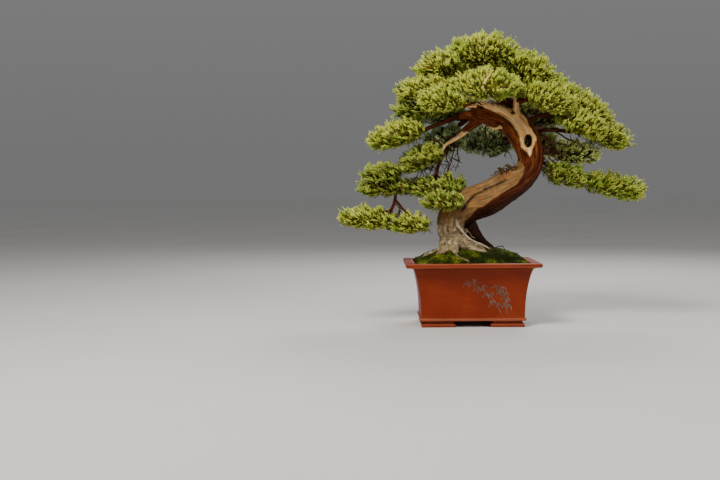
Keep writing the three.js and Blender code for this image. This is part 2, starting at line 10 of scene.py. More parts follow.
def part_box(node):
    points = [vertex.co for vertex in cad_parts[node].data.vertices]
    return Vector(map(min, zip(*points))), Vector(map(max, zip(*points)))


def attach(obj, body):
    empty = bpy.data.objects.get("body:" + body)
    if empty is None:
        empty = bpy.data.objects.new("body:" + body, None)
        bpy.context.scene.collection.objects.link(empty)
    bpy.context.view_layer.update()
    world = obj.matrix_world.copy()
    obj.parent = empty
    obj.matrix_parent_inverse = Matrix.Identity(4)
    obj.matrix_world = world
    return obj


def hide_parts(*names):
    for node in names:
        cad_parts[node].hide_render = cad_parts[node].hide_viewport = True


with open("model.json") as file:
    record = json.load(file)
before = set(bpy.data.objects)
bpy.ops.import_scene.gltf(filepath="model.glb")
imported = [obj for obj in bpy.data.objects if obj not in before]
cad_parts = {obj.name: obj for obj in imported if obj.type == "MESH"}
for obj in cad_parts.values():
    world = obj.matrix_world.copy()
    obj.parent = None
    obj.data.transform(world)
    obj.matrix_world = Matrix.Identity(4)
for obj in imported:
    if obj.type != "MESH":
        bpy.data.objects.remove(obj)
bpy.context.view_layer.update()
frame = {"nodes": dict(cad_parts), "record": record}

POT_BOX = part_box("pot")
MM = 0.001
MIDDLE = np.array([(POT_BOX[0].x + POT_BOX[1].x) / 2, (POT_BOX[0].y + POT_BOX[1].y) / 2, 0.0])


def placed(points):
    return np.asarray(points, float) * MM + MIDDLE


def unit(vectors):
    return vectors / np.maximum(np.linalg.norm(vectors, axis=-1, keepdims=True), 1e-9)


def ease(value, low, high):
    share = np.clip((value - low) / (high - low), 0, 1)
    return share * share * (3 - 2 * share)


def rough(points, size, seed=0.0):
    """Smooth noise from -1 to 1 at each point, with lumps of about that size."""
    shift = Vector((seed, 1.7 * seed, -seed))
    return np.array([noise.noise(Vector(p) / size + shift) for p in points])


# Meshes.
def set_values(mesh, **values):
    for key, value in values.items():
        single = value.ndim == 1
        attribute = mesh.attributes.new(key, "FLOAT" if single else "FLOAT_VECTOR", "POINT")
        attribute.data.foreach_set("value" if single else "vector", value.astype(np.float32).ravel())


def new_mesh(name, points, faces, smooth=True, **values):
    """A mesh of points and of faces, given as one array for each number of corners."""
    mesh = bpy.data.meshes.new(name)
    mesh.vertices.add(len(points))
    mesh.vertices.foreach_set("co", np.asarray(points, np.float32).ravel())
    corners = np.concatenate([group.ravel() for group in faces]).astype(np.int32)
    sizes = np.concatenate([np.full(len(group), group.shape[1]) for group in faces])
    starts = np.concatenate([[0], np.cumsum(sizes)[:-1]]).astype(np.int32)
    mesh.loops.add(len(corners))
    mesh.loops.foreach_set("vertex_index", corners)
    mesh.polygons.add(len(sizes))
    mesh.polygons.foreach_set("loop_start", starts)
    mesh.polygons.foreach_set("use_smooth", np.full(len(sizes), smooth))
    mesh.update(calc_edges=True)
    set_values(mesh, **values)
    return mesh


def new_object(name, mesh, material=None):
    thing = bpy.data.objects.new(name, mesh)
    bpy.context.scene.collection.objects.link(thing)
    if material:
        mesh.materials.clear()
        mesh.materials.append(material)
    return thing


def add_piece(name, mesh, material, slot, *nodes):
    piece = new_object(name, mesh, material)
    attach(piece, "root")
    if nodes:
        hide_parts(*nodes)
    return piece


def modified(name, mesh, modifiers):
    """The mesh after these modifiers, each given as a kind and its settings."""
    thing = new_object(name, mesh)
    for kind, settings in modifiers:
        modifier = thing.modifiers.new(kind, kind)
        for key, value in settings.items():
            setattr(modifier, key, value)
    graph = bpy.context.evaluated_depsgraph_get()
    result = bpy.data.meshes.new_from_object(thing.evaluated_get(graph), depsgraph=graph)
    bpy.data.objects.remove(thing)
    return result


def read(items, key, kind=np.float32):
    values = np.zeros(len(items) * 3, kind)
    items.foreach_get(key, values)
    return values.reshape(-1, 3)


def points_of(mesh):
    return read(mesh.vertices, "co").astype(float)


def normals_of(mesh):
    return read(mesh.vertices, "normal").astype(float)


def triangles_of(mesh):
    mesh.calc_loop_triangles()
    return read(mesh.loop_triangles, "vertices", np.int32)


def skin_tree(points, triangles):
    return BVHTree.FromPolygons(points.tolist(), triangles.tolist())


def tube_faces(rings, around):
    """Faces of a closed tube whose rings are followed by the middle points of its two ends."""
    ring = np.arange(around)
    after = (ring + 1) % around
    first = (np.arange(rings - 1) * around)[:, None]
    walls = np.stack([first + ring, first + around + ring, first + around + after, first + after], -1)
    last = (rings - 1) * around
    foot = np.stack([np.full(around, rings * around), ring, after], -1)
    top = np.stack([np.full(around, rings * around + 1), last + after, last + ring], -1)
    return [walls.reshape(-1, 4), np.vstack([foot, top])]


class Shape:
    """Points and faces gathered from many small parts into one mesh."""

    def __init__(self):
        self.points = []
        self.faces = {}
        self.values = {}
        self.count = 0

    def add(self, points, faces, **values):
        for group in faces:
            self.faces.setdefault(group.shape[1], []).append(group + self.count)
        self.points.append(points)
        self.count += len(points)
        for key, value in values.items():
            self.values.setdefault(key, []).append(value)

    def mesh(self, name, smooth=True):
        faces = [np.concatenate(groups) for groups in self.faces.values()]
        values = {key: np.concatenate(value) for key, value in self.values.items()}
        return new_mesh(name, np.concatenate(self.points), faces, smooth, **values)


# Limbs: tapered tubes along a path of [x, y, z, radius] rows.
class Limb:
    def __init__(self, path, steps):
        rows = np.array(path, float)
        centres = np.vstack([2 * rows[0] - rows[1], rows, 2 * rows[-1] - rows[-2]])[:, :3]
        place = np.linspace(0, len(rows) - 1, steps + 1)
        low = np.minimum(place.astype(int), len(rows) - 2)
        share = place - low
        knots = [centres[low + k] for k in range(4)]
        lengths = [np.linalg.norm(knots[k + 1] - knots[k], axis=1) for k in range(3)]
        gaps = [np.maximum(length, 1e-4)[:, None] ** 0.5 for length in lengths]
        start = self.slope(knots[0], knots[1], knots[2], gaps[0], gaps[1]) * gaps[1]
        end = self.slope(knots[1], knots[2], knots[3], gaps[1], gaps[2]) * gaps[1]
        t = share[:, None]
        bend = -3 * knots[1] + 3 * knots[2] - 2 * start - end
        swing = 2 * knots[1] - 2 * knots[2] + start + end
        self.centres = knots[1] + start * t + bend * t**2 + swing * t**3
        self.along = unit(start + 2 * bend * t + 3 * swing * t**2)
        self.radii = rows[low, 3] * (1 - share) + rows[low + 1, 3] * share
        self.place = place
        lengths = np.linalg.norm(np.diff(self.centres, axis=0), axis=1)
        self.run = np.concatenate([[0], np.cumsum(lengths)])
        across = np.array([0.03, -1, 0.05])
        if abs(across @ self.along[0]) > 0.9:
            across = np.array([0, 0.1, 1.0])
        self.across = np.zeros_like(self.along)
        for i, along in enumerate(self.along):
            across = across - along * (across @ along)
            across = across / np.linalg.norm(across)
            self.across[i] = across
        self.beside = np.cross(self.across, self.along)

    @staticmethod
    def slope(a, b, c, first, second):
        return (b - a) / first - (c - a) / (first + second) + (c - b) / second

    def tube(self, around, flat=1.0, ridges=0, ridge=0.0, twist=0.0):
        """Points in millimetres and faces of the closed tube."""
        steps = len(self.centres)
        angles = np.linspace(0, 2 * np.pi, around, endpoint=False)
        share = np.linspace(0, 1, steps)[:, None]
        reach = self.radii[:, None] * (1 + ridge * np.sin(ridges * angles + twist * share))
        points = (
            self.centres[:, None]
            + self.across[:, None] * (np.cos(angles) * reach * flat)[..., None]
            + self.beside[:, None] * (np.sin(angles) * reach)[..., None]
        ).reshape(-1, 3)
        points = np.vstack([points, self.centres[:1], self.centres[-1:]])
        return points, tube_faces(steps, around)


# Materials.
class Paint:
    """A procedural material: short calls that add nodes and return their outputs."""

    def __init__(self, name, roughness, **settings):
        self.material = bpy.data.materials.new(name)
        self.material.use_nodes = True
        self.tree = self.material.node_tree
        self.shader = self.tree.nodes["Principled BSDF"]
        self.set("Roughness", roughness)
        for key, value in settings.items():
            self.set(key.replace("_", " "), value)

    def link(self, node, socket, value):
        if isinstance(value, bpy.types.NodeSocket):
            self.tree.links.new(value, node.inputs[socket])
        elif value is not None:
            node.inputs[socket].default_value = value

    def set(self, socket, value):
        self.link(self.shader, socket, value)

    def node(self, kind, inputs, **settings):
        node = self.tree.nodes.new(kind)
        for key, value in settings.items():
            setattr(node, key, value)
        for socket, value in inputs.items():
            self.link(node, socket, value)
        return node

    def place(self):
        return self.node("ShaderNodeTexCoord", {}).outputs["Object"]

    def value(self, name):
        return self.node("ShaderNodeAttribute", {}, attribute_name=name).outputs["Fac"]

    def vector(self, name):
        return self.node("ShaderNodeAttribute", {}, attribute_name=name).outputs["Vector"]

    def split(self, vector):
        return self.node("ShaderNodeSeparateXYZ", {"Vector": vector}).outputs

    def noise(self, vector, scale, detail=3.0, roughness=0.55):
        inputs = {"Vector": vector, "Scale": scale, "Detail": detail, "Roughness": roughness}
        return self.node("ShaderNodeTexNoise", inputs).outputs["Fac"]

    def cells(self, vector, scale):
        return self.node("ShaderNodeTexVoronoi", {"Vector": vector, "Scale": scale}).outputs["Distance"]

    def stretch(self, vector, scale):
        return self.node("ShaderNodeVectorMath", {0: vector, 1: scale}, operation="MULTIPLY").outputs[0]

    def sum(self, a, b, operation="ADD"):
        return self.node("ShaderNodeMath", {0: a, 1: b}, operation=operation).outputs[0]

    def times(self, a, b):
        return self.sum(a, b, "MULTIPLY")

    def between(self, value, low, high, bottom=0.0, top=1.0):
        names = ("Value", "From Min", "From Max", "To Min", "To Max")
        inputs = dict(zip(names, (value, low, high, bottom, top)))
        return self.node("ShaderNodeMapRange", inputs, interpolation_type="SMOOTHSTEP").outputs["Result"]

    def ramp(self, value, *stops):
        node = self.node("ShaderNodeValToRGB", {"Fac": value})
        elements = node.color_ramp.elements
        while len(elements) < len(stops):
            elements.new(0.5)
        for element, (position, colour) in zip(elements, stops):
            element.position = position
            element.color = (*colour, 1)
        return node.outputs["Color"]

    def mix(self, share, a, b):
        node = self.node("ShaderNodeMix", {}, data_type="RGBA")
        self.link(node, 0, share)
        for socket, value in ((6, a), (7, b)):
            self.link(node, socket, (*value, 1) if isinstance(value, tuple) else value)
        return node.outputs[2]

    def tint(self, shade, colour, value, *span):
        """The shade, turned to a colour by a share that follows the value as in between()."""
        return self.mix(self.between(value, *span), shade, colour)

    def bump(self, height, strength, distance):
        inputs = {"Height": height, "Strength": strength, "Distance": distance}
        self.set("Normal", self.node("ShaderNodeBump", inputs).outputs["Normal"])

    def done(self, colour):
        self.set("Base Color", colour)
        return self.material


def clay_paint():
    paint = Paint("clay", 0.42, Specular_IOR_Level=0.2)
    place = paint.place()
    cloud = paint.noise(place, 9.0, 4.0)
    speck = paint.noise(place, 420.0, 2.0, 0.7)
    streak = paint.noise(paint.stretch(place, (14.0, 14.0, 160.0)), 1.0, 3.0)
    body = paint.ramp(
        cloud,
        (0.3, (0.15, 0.013, 0.001)),
        (0.5, (0.185, 0.017, 0.001)),
        (0.72, (0.22, 0.025, 0.002)),
    )
    body = paint.tint(body, (0.10, 0.010, 0.001), speck, 0.55, 0.72, 0.0, 0.35)
    body = paint.tint(body, (0.34, 0.065, 0.012), streak, 0.5, 0.8, 0.0, 0.18)
    worn = paint.times(paint.value("worn"), paint.between(cloud, 0.2, 0.6, 0.65, 1.0))
    body = paint.mix(worn, body, (0.34, 0.105, 0.045))
    paint.set("Roughness", paint.between(cloud, 0.3, 0.7, 0.4, 0.54))
    fine = paint.sum(speck, paint.times(streak, 1.4))
    paint.bump(fine, 0.16, 0.0008)
    return paint.done(body)


def glaze_paint():
    paint = Paint("glaze_line", 0.4)
    place = paint.place()
    cloud = paint.noise(place, 60.0, 3.0)
    shade = paint.ramp(
        cloud,
        (0.3, (0.060, 0.038, 0.022)),
        (0.5, (0.100, 0.075, 0.046)),
        (0.75, (0.17, 0.15, 0.11)),
    )
    paint.bump(paint.noise(place, 700.0, 2.0), 0.2, 0.0004)
    return paint.done(shade)


def wood_paint():
    """Live bark and dead wood, by values on the mesh and by "grain", which follows the limbs.

    "dead" parts wood from bark and "grey" ash from tan. A third value brightens dead wood and paints
    light on the upper live bark. "low" paints shade in the hollow, the crack, the dips, under the
    trunk and on the foot's right side, and darkens the knobs and some thin roots.
    """
    paint = Paint("bark_and_dead_wood", 0.8, Specular_IOR_Level=0.12)
    grain = paint.vector("grain")
    place = paint.place()
    strands = paint.noise(paint.stretch(grain, (1.0, 9.0, 9.0)), 1.0, 5.0, 0.6)
    fibres = paint.noise(paint.stretch(grain, (1.6, 26.0, 26.0)), 1.0, 4.0, 0.6)
    flakes = paint.noise(paint.stretch(grain, (3.5, 7.0, 7.0)), 1.0, 4.0, 0.6)
    patches = paint.noise(place, 26.0, 3.0)
    stains = paint.noise(place, 58.0, 3.0, 0.6)
    live = paint.ramp(
        strands,
        (0.3, (0.016, 0.0026, 0.0005)),
        (0.46, (0.042, 0.0072, 0.0010)),
        (0.58, (0.078, 0.0150, 0.0022)),
        (0.74, (0.18, 0.050, 0.010)),
    )
    # Painted light: a brighter copy of the live bark, mixed in towards the top of the trunk.
    lit = paint.ramp(
        strands,
        (0.32, (0.020, 0.0036, 0.0006)),
        (0.46, (0.080, 0.016, 0.0022)),
        (0.56, (0.165, 0.038, 0.0052)),
        (0.72, (0.36, 0.12, 0.024)),
    )
    live = paint.mix(paint.value("pale"), live, lit)
    live = paint.tint(live, (0.12, 0.016, 0.0018), flakes, 0.52, 0.72, 0.0, 0.45)
    live = paint.tint(live, (0.025, 0.006, 0.002), stains, 0.55, 0.72, 0.0, 0.5)
    live = paint.tint(live, (0.24, 0.11, 0.04), fibres, 0.6, 0.8, 0.0, 0.25)
    bright = paint.ramp(
        strands,
        (0.28, (0.36, 0.14, 0.026)),
        (0.42, (0.70, 0.36, 0.105)),
        (0.58, (0.92, 0.62, 0.28)),
        (0.75, (1.0, 0.84, 0.54)),
    )
    bright = paint.tint(bright, (0.52, 0.19, 0.035), patches, 0.52, 0.74, 0.0, 0.45)
    brown = paint.ramp(
        strands,
        (0.28, (0.060, 0.026, 0.007)),
        (0.42, (0.155, 0.075, 0.022)),
        (0.58, (0.25, 0.135, 0.045)),
        (0.75, (0.40, 0.245, 0.095)),
    )
    brown = paint.tint(brown, (0.30, 0.105, 0.018), patches, 0.52, 0.68, 0.0, 0.5)
    brown = paint.tint(brown, (0.10, 0.075, 0.045), stains, 0.50, 0.66, 0.0, 0.55)
    tan = paint.mix(paint.value("pale"), brown, bright)
    tan = paint.tint(tan, (0.10, 0.038, 0.008), fibres, 0.25, 0.45, 0.6, 0.0)
    mottle = paint.noise(place, 78.0, 4.0, 0.6)
    ash = paint.ramp(
        paint.sum(paint.times(strands, 0.5), paint.times(mottle, 0.5)),
        (0.34, (0.055, 0.032, 0.013)),
        (0.45, (0.17, 0.115, 0.055)),
        (0.55, (0.33, 0.24, 0.13)),
        (0.67, (0.70, 0.58, 0.38)),
    )
    ash = paint.mix(paint.times(paint.value("pale"), 0.35), ash, (0.90, 0.78, 0.56))
    ash = paint.tint(ash, (0.12, 0.078, 0.04), stains, 0.5, 0.68, 0.0, 0.6)
    ash = paint.tint(ash, (0.055, 0.033, 0.015), fibres, 0.25, 0.45, 0.6, 0.0)
    wood = paint.mix(paint.value("grey"), tan, ash)
    shade = paint.mix(paint.value("dead"), live, wood)
    # Painted shade: "low" darkens the wood towards near black; it also darkens the knobs and thin roots.
    shade = paint.mix(paint.times(paint.value("low"), 0.88), shade, (0.008, 0.004, 0.0015))
    paint.set("Roughness", paint.between(strands, 0.3, 0.7, 0.88, 0.66))
    paint.bump(paint.sum(paint.times(strands, 1.4), fibres), 0.6, 0.002)
    return paint.done(shade)


def twig_paint():
    paint = Paint("twig_bark", 0.85, Specular_IOR_Level=0.15)
    place = paint.place()
    cloud = paint.noise(place, 90.0, 4.0, 0.65)
    shade = paint.ramp(
        cloud,
        (0.3, (0.012, 0.005, 0.002)),
        (0.5, (0.050, 0.020, 0.007)),
        (0.72, (0.17, 0.085, 0.035)),
    )
    paint.bump(paint.noise(place, 500.0, 3.0), 0.5, 0.001)
    return paint.done(shade)


def shoot_paint(name, tip, middle, foot, heart, lit=None):
    """Scale-leaf shoots in four colours, and an optional ramp for the side of the tree that is lit.

    "shoot" holds the way to the tip, a random value for each shoot, and 1 on a pad's core.
    """
    paint = Paint(name, 0.6, Specular_IOR_Level=0.15)
    way, lot, core = paint.split(paint.vector("shoot"))
    place = paint.place()
    cloud = paint.noise(place, 14.0, 3.0)
    scales = paint.noise(place, 520.0, 2.0, 0.6)
    end = tuple(min(1.0, c * 1.2) for c in tip)
    shade = paint.ramp(way, (0.38, foot), (0.64, middle), (0.93, tip), (1.0, end))
    shade = paint.mix(paint.between(lot, 0.1, 0.5, 0.75, 0.0), shade, tuple(0.36 * c for c in middle))
    shade = paint.tint(shade, tip, lot, 0.72, 0.94, 0.0, 0.4)
    green = tuple(c * s for c, s in zip(middle, (0.55, 1.0, 1.1)))
    shade = paint.tint(shade, green, cloud, 0.46, 0.7, 0.0, 0.4)
    yellow = tuple(c * s for c, s in zip(middle, (1.4, 1.2, 0.7)))
    shade = paint.tint(shade, yellow, cloud, 0.32, 0.46, 0.2, 0.0)
    # Painted light: towards +X the shoots take the brighter ramp.
    if lit:
        right = paint.between(paint.split(place)[0], 0.02, 0.12, 0.0, 0.7)
        shade = paint.mix(right, shade, paint.ramp(way, *lit))
    shade = paint.tint(shade, foot, scales, 0.5, 0.75, 0.0, 0.3)
    shade = paint.tint(shade, (0.26, 0.12, 0.02), lot, 0.985, 0.99)
    deep = tuple(0.25 * c for c in heart)
    inside = paint.ramp(paint.noise(place, 190.0, 4.0, 0.7), (0.35, deep), (0.5, heart), (0.7, foot))
    shade = paint.mix(core, shade, inside)
    return paint.done(shade)


def moss_paint():
    paint = Paint("moss", 0.95, Specular_IOR_Level=0.1)
    place = paint.place()
    patches = paint.noise(place, 24.0, 4.0, 0.65)
    tufts = paint.noise(place, 130.0, 3.0, 0.6)
    shade = paint.ramp(
        patches,
        (0.34, (0.006, 0.010, 0.0008)),
        (0.48, (0.014, 0.023, 0.0012)),
        (0.56, (0.050, 0.066, 0.003)),
        (0.66, (0.19, 0.20, 0.014)),
    )
    shade = paint.tint(shade, (0.004, 0.006, 0.001), tufts, 0.35, 0.6, 0.75, 0.0)
    tip = paint.times(paint.value("tip"), 0.45)
    shade = paint.mix(tip, shade, paint.mix(0.4, shade, (0.25, 0.29, 0.03)))
    paint.bump(paint.sum(tufts, paint.noise(place, 600.0, 2.0)), 0.6, 0.002)
    return paint.done(shade)


def grit_paint():
    paint = Paint("soil_grit", 0.95)
    place = paint.place()
    grains = paint.cells(place, 260.0)
    lot = paint.noise(place, 180.0, 2.0, 0.7)
    shade = paint.ramp(
        lot,
        (0.3, (0.016, 0.009, 0.005)),
        (0.5, (0.05, 0.029, 0.017)),
        (0.7, (0.14, 0.095, 0.06)),
    )
    shade = paint.tint(shade, (0.01, 0.006, 0.004), grains, 0.2, 0.7, 0.0, 0.7)
    paint.bump(grains, -0.8, 0.002)
    return paint.done(shade)


def screen_paint():
    paint = Paint("screen_plastic", 0.5)
    place = paint.place()
    cloud = paint.noise(place, 200.0, 2.0)
    shade = paint.ramp(cloud, (0.35, (0.008, 0.008, 0.009)), (0.65, (0.02, 0.02, 0.021)))
    paint.bump(paint.noise(place, 900.0, 2.0), 0.15, 0.0004)
    return paint.done(shade)


CLAY = clay_paint()
GLAZE = glaze_paint()
WOOD = wood_paint()
TWIG = twig_paint()
MOSS = moss_paint()
GRIT = grit_paint()
SCREEN = screen_paint()
# Painted light and shade: each kind of pad has a lit, middle or shaded copy of the foliage colours,
# which are the colours of a shoot's tip, middle and foot, and of the twiggy heart of a pad.
SHOOT_COLOURS_BY_LIGHT = {
    "bright": [(0.80, 0.86, 0.155), (0.34, 0.395, 0.019), (0.12, 0.124, 0.004), (0.095, 0.084, 0.004)],
    "middle": [(0.60, 0.68, 0.125), (0.235, 0.29, 0.015), (0.088, 0.096, 0.004), (0.07, 0.062, 0.004)],
    "shaded": [(0.82, 0.96, 0.42), (0.33, 0.42, 0.13), (0.060, 0.078, 0.018), (0.030, 0.026, 0.008)],
}
# Painted light: the shaded pads at the right of the trunk turn towards a brighter ramp.
LIT = {"shaded": ((0.38, (0.13, 0.12, 0.008)), (0.62, (0.50, 0.54, 0.04)), (0.9, (0.95, 1.0, 0.30)))}
SHOOTS = {
    "foliage_" + kind: shoot_paint("shoots_" + kind, *colours, LIT.get(kind))
    for kind, colours in SHOOT_COLOURS_BY_LIGHT.items()
}

# The camera stands where the photograph was taken from, about half as high as the tree, and looks
# slightly down.
CAMERA_PLACE = (-301.9, -3299.8, 430.3)
CAMERA_YAW = -0.01025
CAMERA_PITCH = -0.0524
CAMERA_ROLL = -0.00734
CAMERA_FOCAL = 1082.158  # in pixels of the photograph
PHOTO_WIDTH = 720


def add_camera():
    data = bpy.data.cameras.new("camera")
    data.sensor_width = 36.0
    data.lens = CAMERA_FOCAL / PHOTO_WIDTH * data.sensor_width
    data.clip_start = 0.05
    data.clip_end = 60.0
    camera = bpy.data.objects.new("camera", data)
    bpy.context.scene.collection.objects.link(camera)
    forward = Vector(
        (
            math.sin(CAMERA_YAW) * math.cos(CAMERA_PITCH),
            math.cos(CAMERA_YAW) * math.cos(CAMERA_PITCH),
            math.sin(CAMERA_PITCH),
        )
    )
    right = Vector((math.cos(CAMERA_YAW), -math.sin(CAMERA_YAW), 0))
    up = right.cross(forward)
    turned_right = right * math.cos(CAMERA_ROLL) + up * math.sin(CAMERA_ROLL)
    turned_up = up * math.cos(CAMERA_ROLL) - right * math.sin(CAMERA_ROLL)
    matrix = camera.matrix_world.to_3x3()
    for i, axis in enumerate((turned_right, turned_up, -forward)):
        matrix.col[i] = axis
    camera.matrix_world = matrix.to_4x4()
    camera.location = placed(CAMERA_PLACE)
    bpy.context.scene.camera = camera


# The wood, along the same paths as the solid.
TRUNK = [
    [-50, 2, 172, 44], [-51, 1, 205, 50], [-50, 0, 238, 43], [-51, 0, 268, 40], [-56, 0, 300, 44],
    [-44, -2, 334, 48], [-4, -5, 362, 50], [50, -10, 382, 50], [102, -15, 413, 47],
    [145, -20, 440, 42], [173, -25, 470, 37], [181, -28, 502, 37], [172, -28, 540, 42],
    [152, -25, 580, 44], [124, -20, 610, 41], [88, -14, 628, 37], [52, -8, 636, 31], [20, -2, 638, 22],
]
ROOTS = [
    [
        [-62, -6, 244, 26], [-88, -13, 223, 15], [-112, -19, 215, 10.5],
        [-138, -22, 207, 7], [-154, -24, 192, 4],
    ],
    [[-66, -22, 246, 22], [-84, -44, 225, 15], [-99, -60, 212, 10], [-110, -72, 194, 5]],
    [[-54, -26, 248, 22], [-56, -52, 228, 17], [-50, -70, 213, 11], [-44, -84, 194, 5]],
    [
        [-36, -22, 258, 18], [-14, -42, 238, 14], [16, -52, 226, 9],
        [46, -58, 217, 6], [68, -64, 200, 3],
    ],
    [
        [-54, -38, 332, 3], [-47, -41, 321, 7], [-42, -43, 304, 4.5], [-25, -46, 280, 4],
        [2, -48, 256, 3.5], [36, -44, 241, 4], [66, -37, 222, 2.5],
    ],
    [[-16, 12, 292, 38], [12, 18, 264, 25], [42, 26, 243, 14], [72, 34, 226, 7], [92, 40, 202, 3]],
    [[-62, 24, 250, 22], [-80, 48, 229, 13], [-94, 66, 209, 7], [-102, 78, 188, 3]],
    [[-46, 32, 256, 22], [-36, 66, 232, 13], [-26, 90, 212, 7], [-20, 106, 184, 3]],
    [
        [-58, -14, 302, 26], [-40, -22, 274, 21], [-16, -32, 252, 14],
        [14, -37, 237, 9], [46, -40, 221, 4],
    ],
]
LIVE_ROOTS = (5, 6, 7)
VEIN = 4  # the bright dead root down the front of the foot
BUTTRESS = 5  # the root at the right, under the leaning trunk, painted dark as shade
DEADWOOD = [
    [
        [156, -40, 584, 13], [137, -40, 612, 15], [112, -37, 636, 15],
        [72, -34, 655, 12], [27, -34, 668, 7.5], [-12, -36, 686, 3],
    ],
    [[142, -40, 604, 13], [136, -42, 640, 11], [134, -40, 668, 9], [133, -36, 690, 5]],
    [[46, -36, 660, 5], [48, -42, 676, 3.5], [53, -46, 688, 1.8]],
    [[16, -28, 660, 5.5], [-6, -36, 656, 4], [-22, -42, 649, 2]],
    [
        [172, -54, 504, 6], [184, -57, 526, 7.5], [186, -57, 556, 8],
        [173, -52, 580, 10], [152, -44, 596, 12],
    ],
    [[172, -54, 504, 6], [157, -57, 529, 7.5], [151, -55, 556, 7.5], [149, -48, 586, 11]],
    [[98, -24, 444, 11], [95, -33, 461, 8.5], [88, -39, 470, 5.5], [78, -43, 472, 3.5]],
    [[120, -26, 458, 10], [119, -36, 471, 7.5], [110, -43, 479, 5], [101, -47, 481, 3.5]],
    [[138, -22, 462, 11], [141, -30, 479, 7.5], [148, -34, 488, 5], [157, -35, 488, 3.5]],
    [[-10, 6, 588, 9], [-34, 2, 570, 8], [-56, -8, 556, 6.5], [-74, -16, 545, 5], [-89, -22, 517, 2.5]],
    [[90, -40, 596, 5], [70, -52, 590, 4], [50, -58, 596, 2.2]],
    [[56, 6, 700, 7], [66, -26, 726, 5], [72, -44, 748, 2.5]],
    [
        [40, -110, 700, 6], [24, -150, 698, 5.5], [20, -190, 704, 5],
        [31, -198, 726, 4], [48, -200, 748, 2],
    ],
]
KNOBS = range(6, 9)  # the short dead stubs on top of the leaning trunk, in DEADWOOD
# The crack as [x, z, radius] rows on the front of the trunk.
CRACK = [
    [102, 438, 2.6], [86, 430, 3.6], [66, 421, 3.4], [44, 411, 4.2], [22, 400, 3.4], [4, 388, 4.4],
    [-10, 373, 3.8], [-22, 356, 3.6], [-30, 342, 2.6],
]
HOLLOW = [[170, -140, 553, 13.5], [168, -40, 553, 12.5], [166, 20, 553, 12.5], [165, 110, 552, 13.5]]
HOLLOW_TALL = 1.6  # the hollow's height over its width
BRANCHES = [
    [
        [118, -6, 618, 30], [116, 6, 652, 24], [98, 12, 690, 18],
        [78, 10, 730, 13], [58, 4, 776, 8], [46, 0, 812, 4],
    ],
    [
        [40, 0, 640, 21], [16, 4, 612, 14], [-14, 6, 588, 10], [-48, 16, 556, 8],
        [-76, 20, 524, 7], [-96, 14, 478, 5.5], [-104, 8, 436, 4.5], [-96, 8, 410, 3],
    ],
    [
        [28, -2, 640, 16], [-34, 2, 630, 9], [-100, -6, 606, 6.5],
        [-150, -12, 586, 5.5], [-196, -16, 574, 4.5], [-240, -14, 566, 3],
    ],
    [
        [46, -4, 646, 15], [8, -14, 662, 11], [-50, -22, 672, 8],
        [-104, -26, 690, 5.5], [-152, -28, 702, 3],
    ],
    [[-34, -14, 668, 7], [-84, -4, 648, 5.5], [-136, 2, 644, 4], [-178, 4, 646, 2.5]],
    [
        [-70, 20, 532, 8], [-120, 6, 506, 7], [-172, -8, 486, 6], [-214, -14, 468, 5.5],
        [-246, -4, 436, 4.5], [-280, 10, 412, 3.5], [-310, 18, 404, 2.5],
    ],
    [[-208, -12, 470, 5], [-240, -18, 462, 4], [-282, -20, 460, 2.5]],
    [
        [-238, -8, 444, 5], [-226, 0, 404, 5], [-232, -4, 368, 4.5],
        [-254, -8, 330, 4], [-300, -10, 312, 3], [-340, -10, 310, 2],
    ],
    [[-228, -2, 380, 3.5], [-196, -10, 344, 3], [-164, -12, 324, 2.4]],
    [[-100, 10, 456, 4], [-104, -24, 410, 3.2], [-96, -52, 382, 2.4]],
    [[90, 12, 704, 12], [30, 0, 738, 8], [-30, -12, 756, 6], [-84, -20, 766, 3.5]],
    [[94, 10, 698, 11], [132, -6, 738, 8], [156, -14, 756, 5], [174, -18, 768, 3]],
    [[112, 6, 664, 12], [170, 6, 682, 9], [226, 2, 688, 6.5], [282, 0, 688, 3.5]],
    [[158, -6, 600, 18], [196, 2, 626, 9], [250, 0, 636, 6.5], [310, -10, 634, 5], [362, -16, 636, 3]],
    [[170, 0, 574, 16], [222, 10, 588, 7.5], [290, 8, 584, 6], [350, 4, 576, 5], [420, 0, 574, 3]],
    [[180, 0, 540, 14], [226, 14, 532, 6.5], [280, 22, 514, 5], [336, 22, 500, 3]],
    [
        [184, -6, 512, 14], [222, 4, 490, 7], [268, 0, 462, 6],
        [330, -4, 436, 5], [400, -2, 414, 4], [460, 0, 398, 2.5],
    ],
    [[160, 10, 590, 16], [146, 62, 580, 11], [118, 112, 552, 8], [84, 150, 524, 4]],
    [[150, 6, 612, 16], [176, 66, 622, 10], [196, 120, 626, 7], [208, 158, 628, 3.5]],
    [[192, 104, 622, 8], [216, 124, 592, 6], [232, 144, 556, 4.5], [236, 154, 534, 3]],
    [[98, 14, 686, 11], [86, 70, 706, 8], [70, 120, 722, 5.5], [62, 150, 730, 3]],
    [[30, 2, 632, 14], [-6, 64, 628, 9], [-46, 112, 632, 6.5], [-80, 150, 636, 3.5]],
    [[-4, 52, 624, 8], [-44, 72, 596, 6], [-86, 70, 568, 3.5]],
    [[104, 4, 678, 10], [76, -60, 696, 7], [46, -108, 702, 5], [30, -136, 704, 3]],
    [[118, -4, 668, 10], [146, -52, 674, 7], [178, -94, 670, 5], [216, -118, 664, 3]],
    [[-40, -20, 670, 6], [-66, -76, 664, 5], [-92, -124, 660, 3]],
    [[262, -2, 636, 5.5], [286, -60, 612, 5], [312, -110, 584, 3]],
]

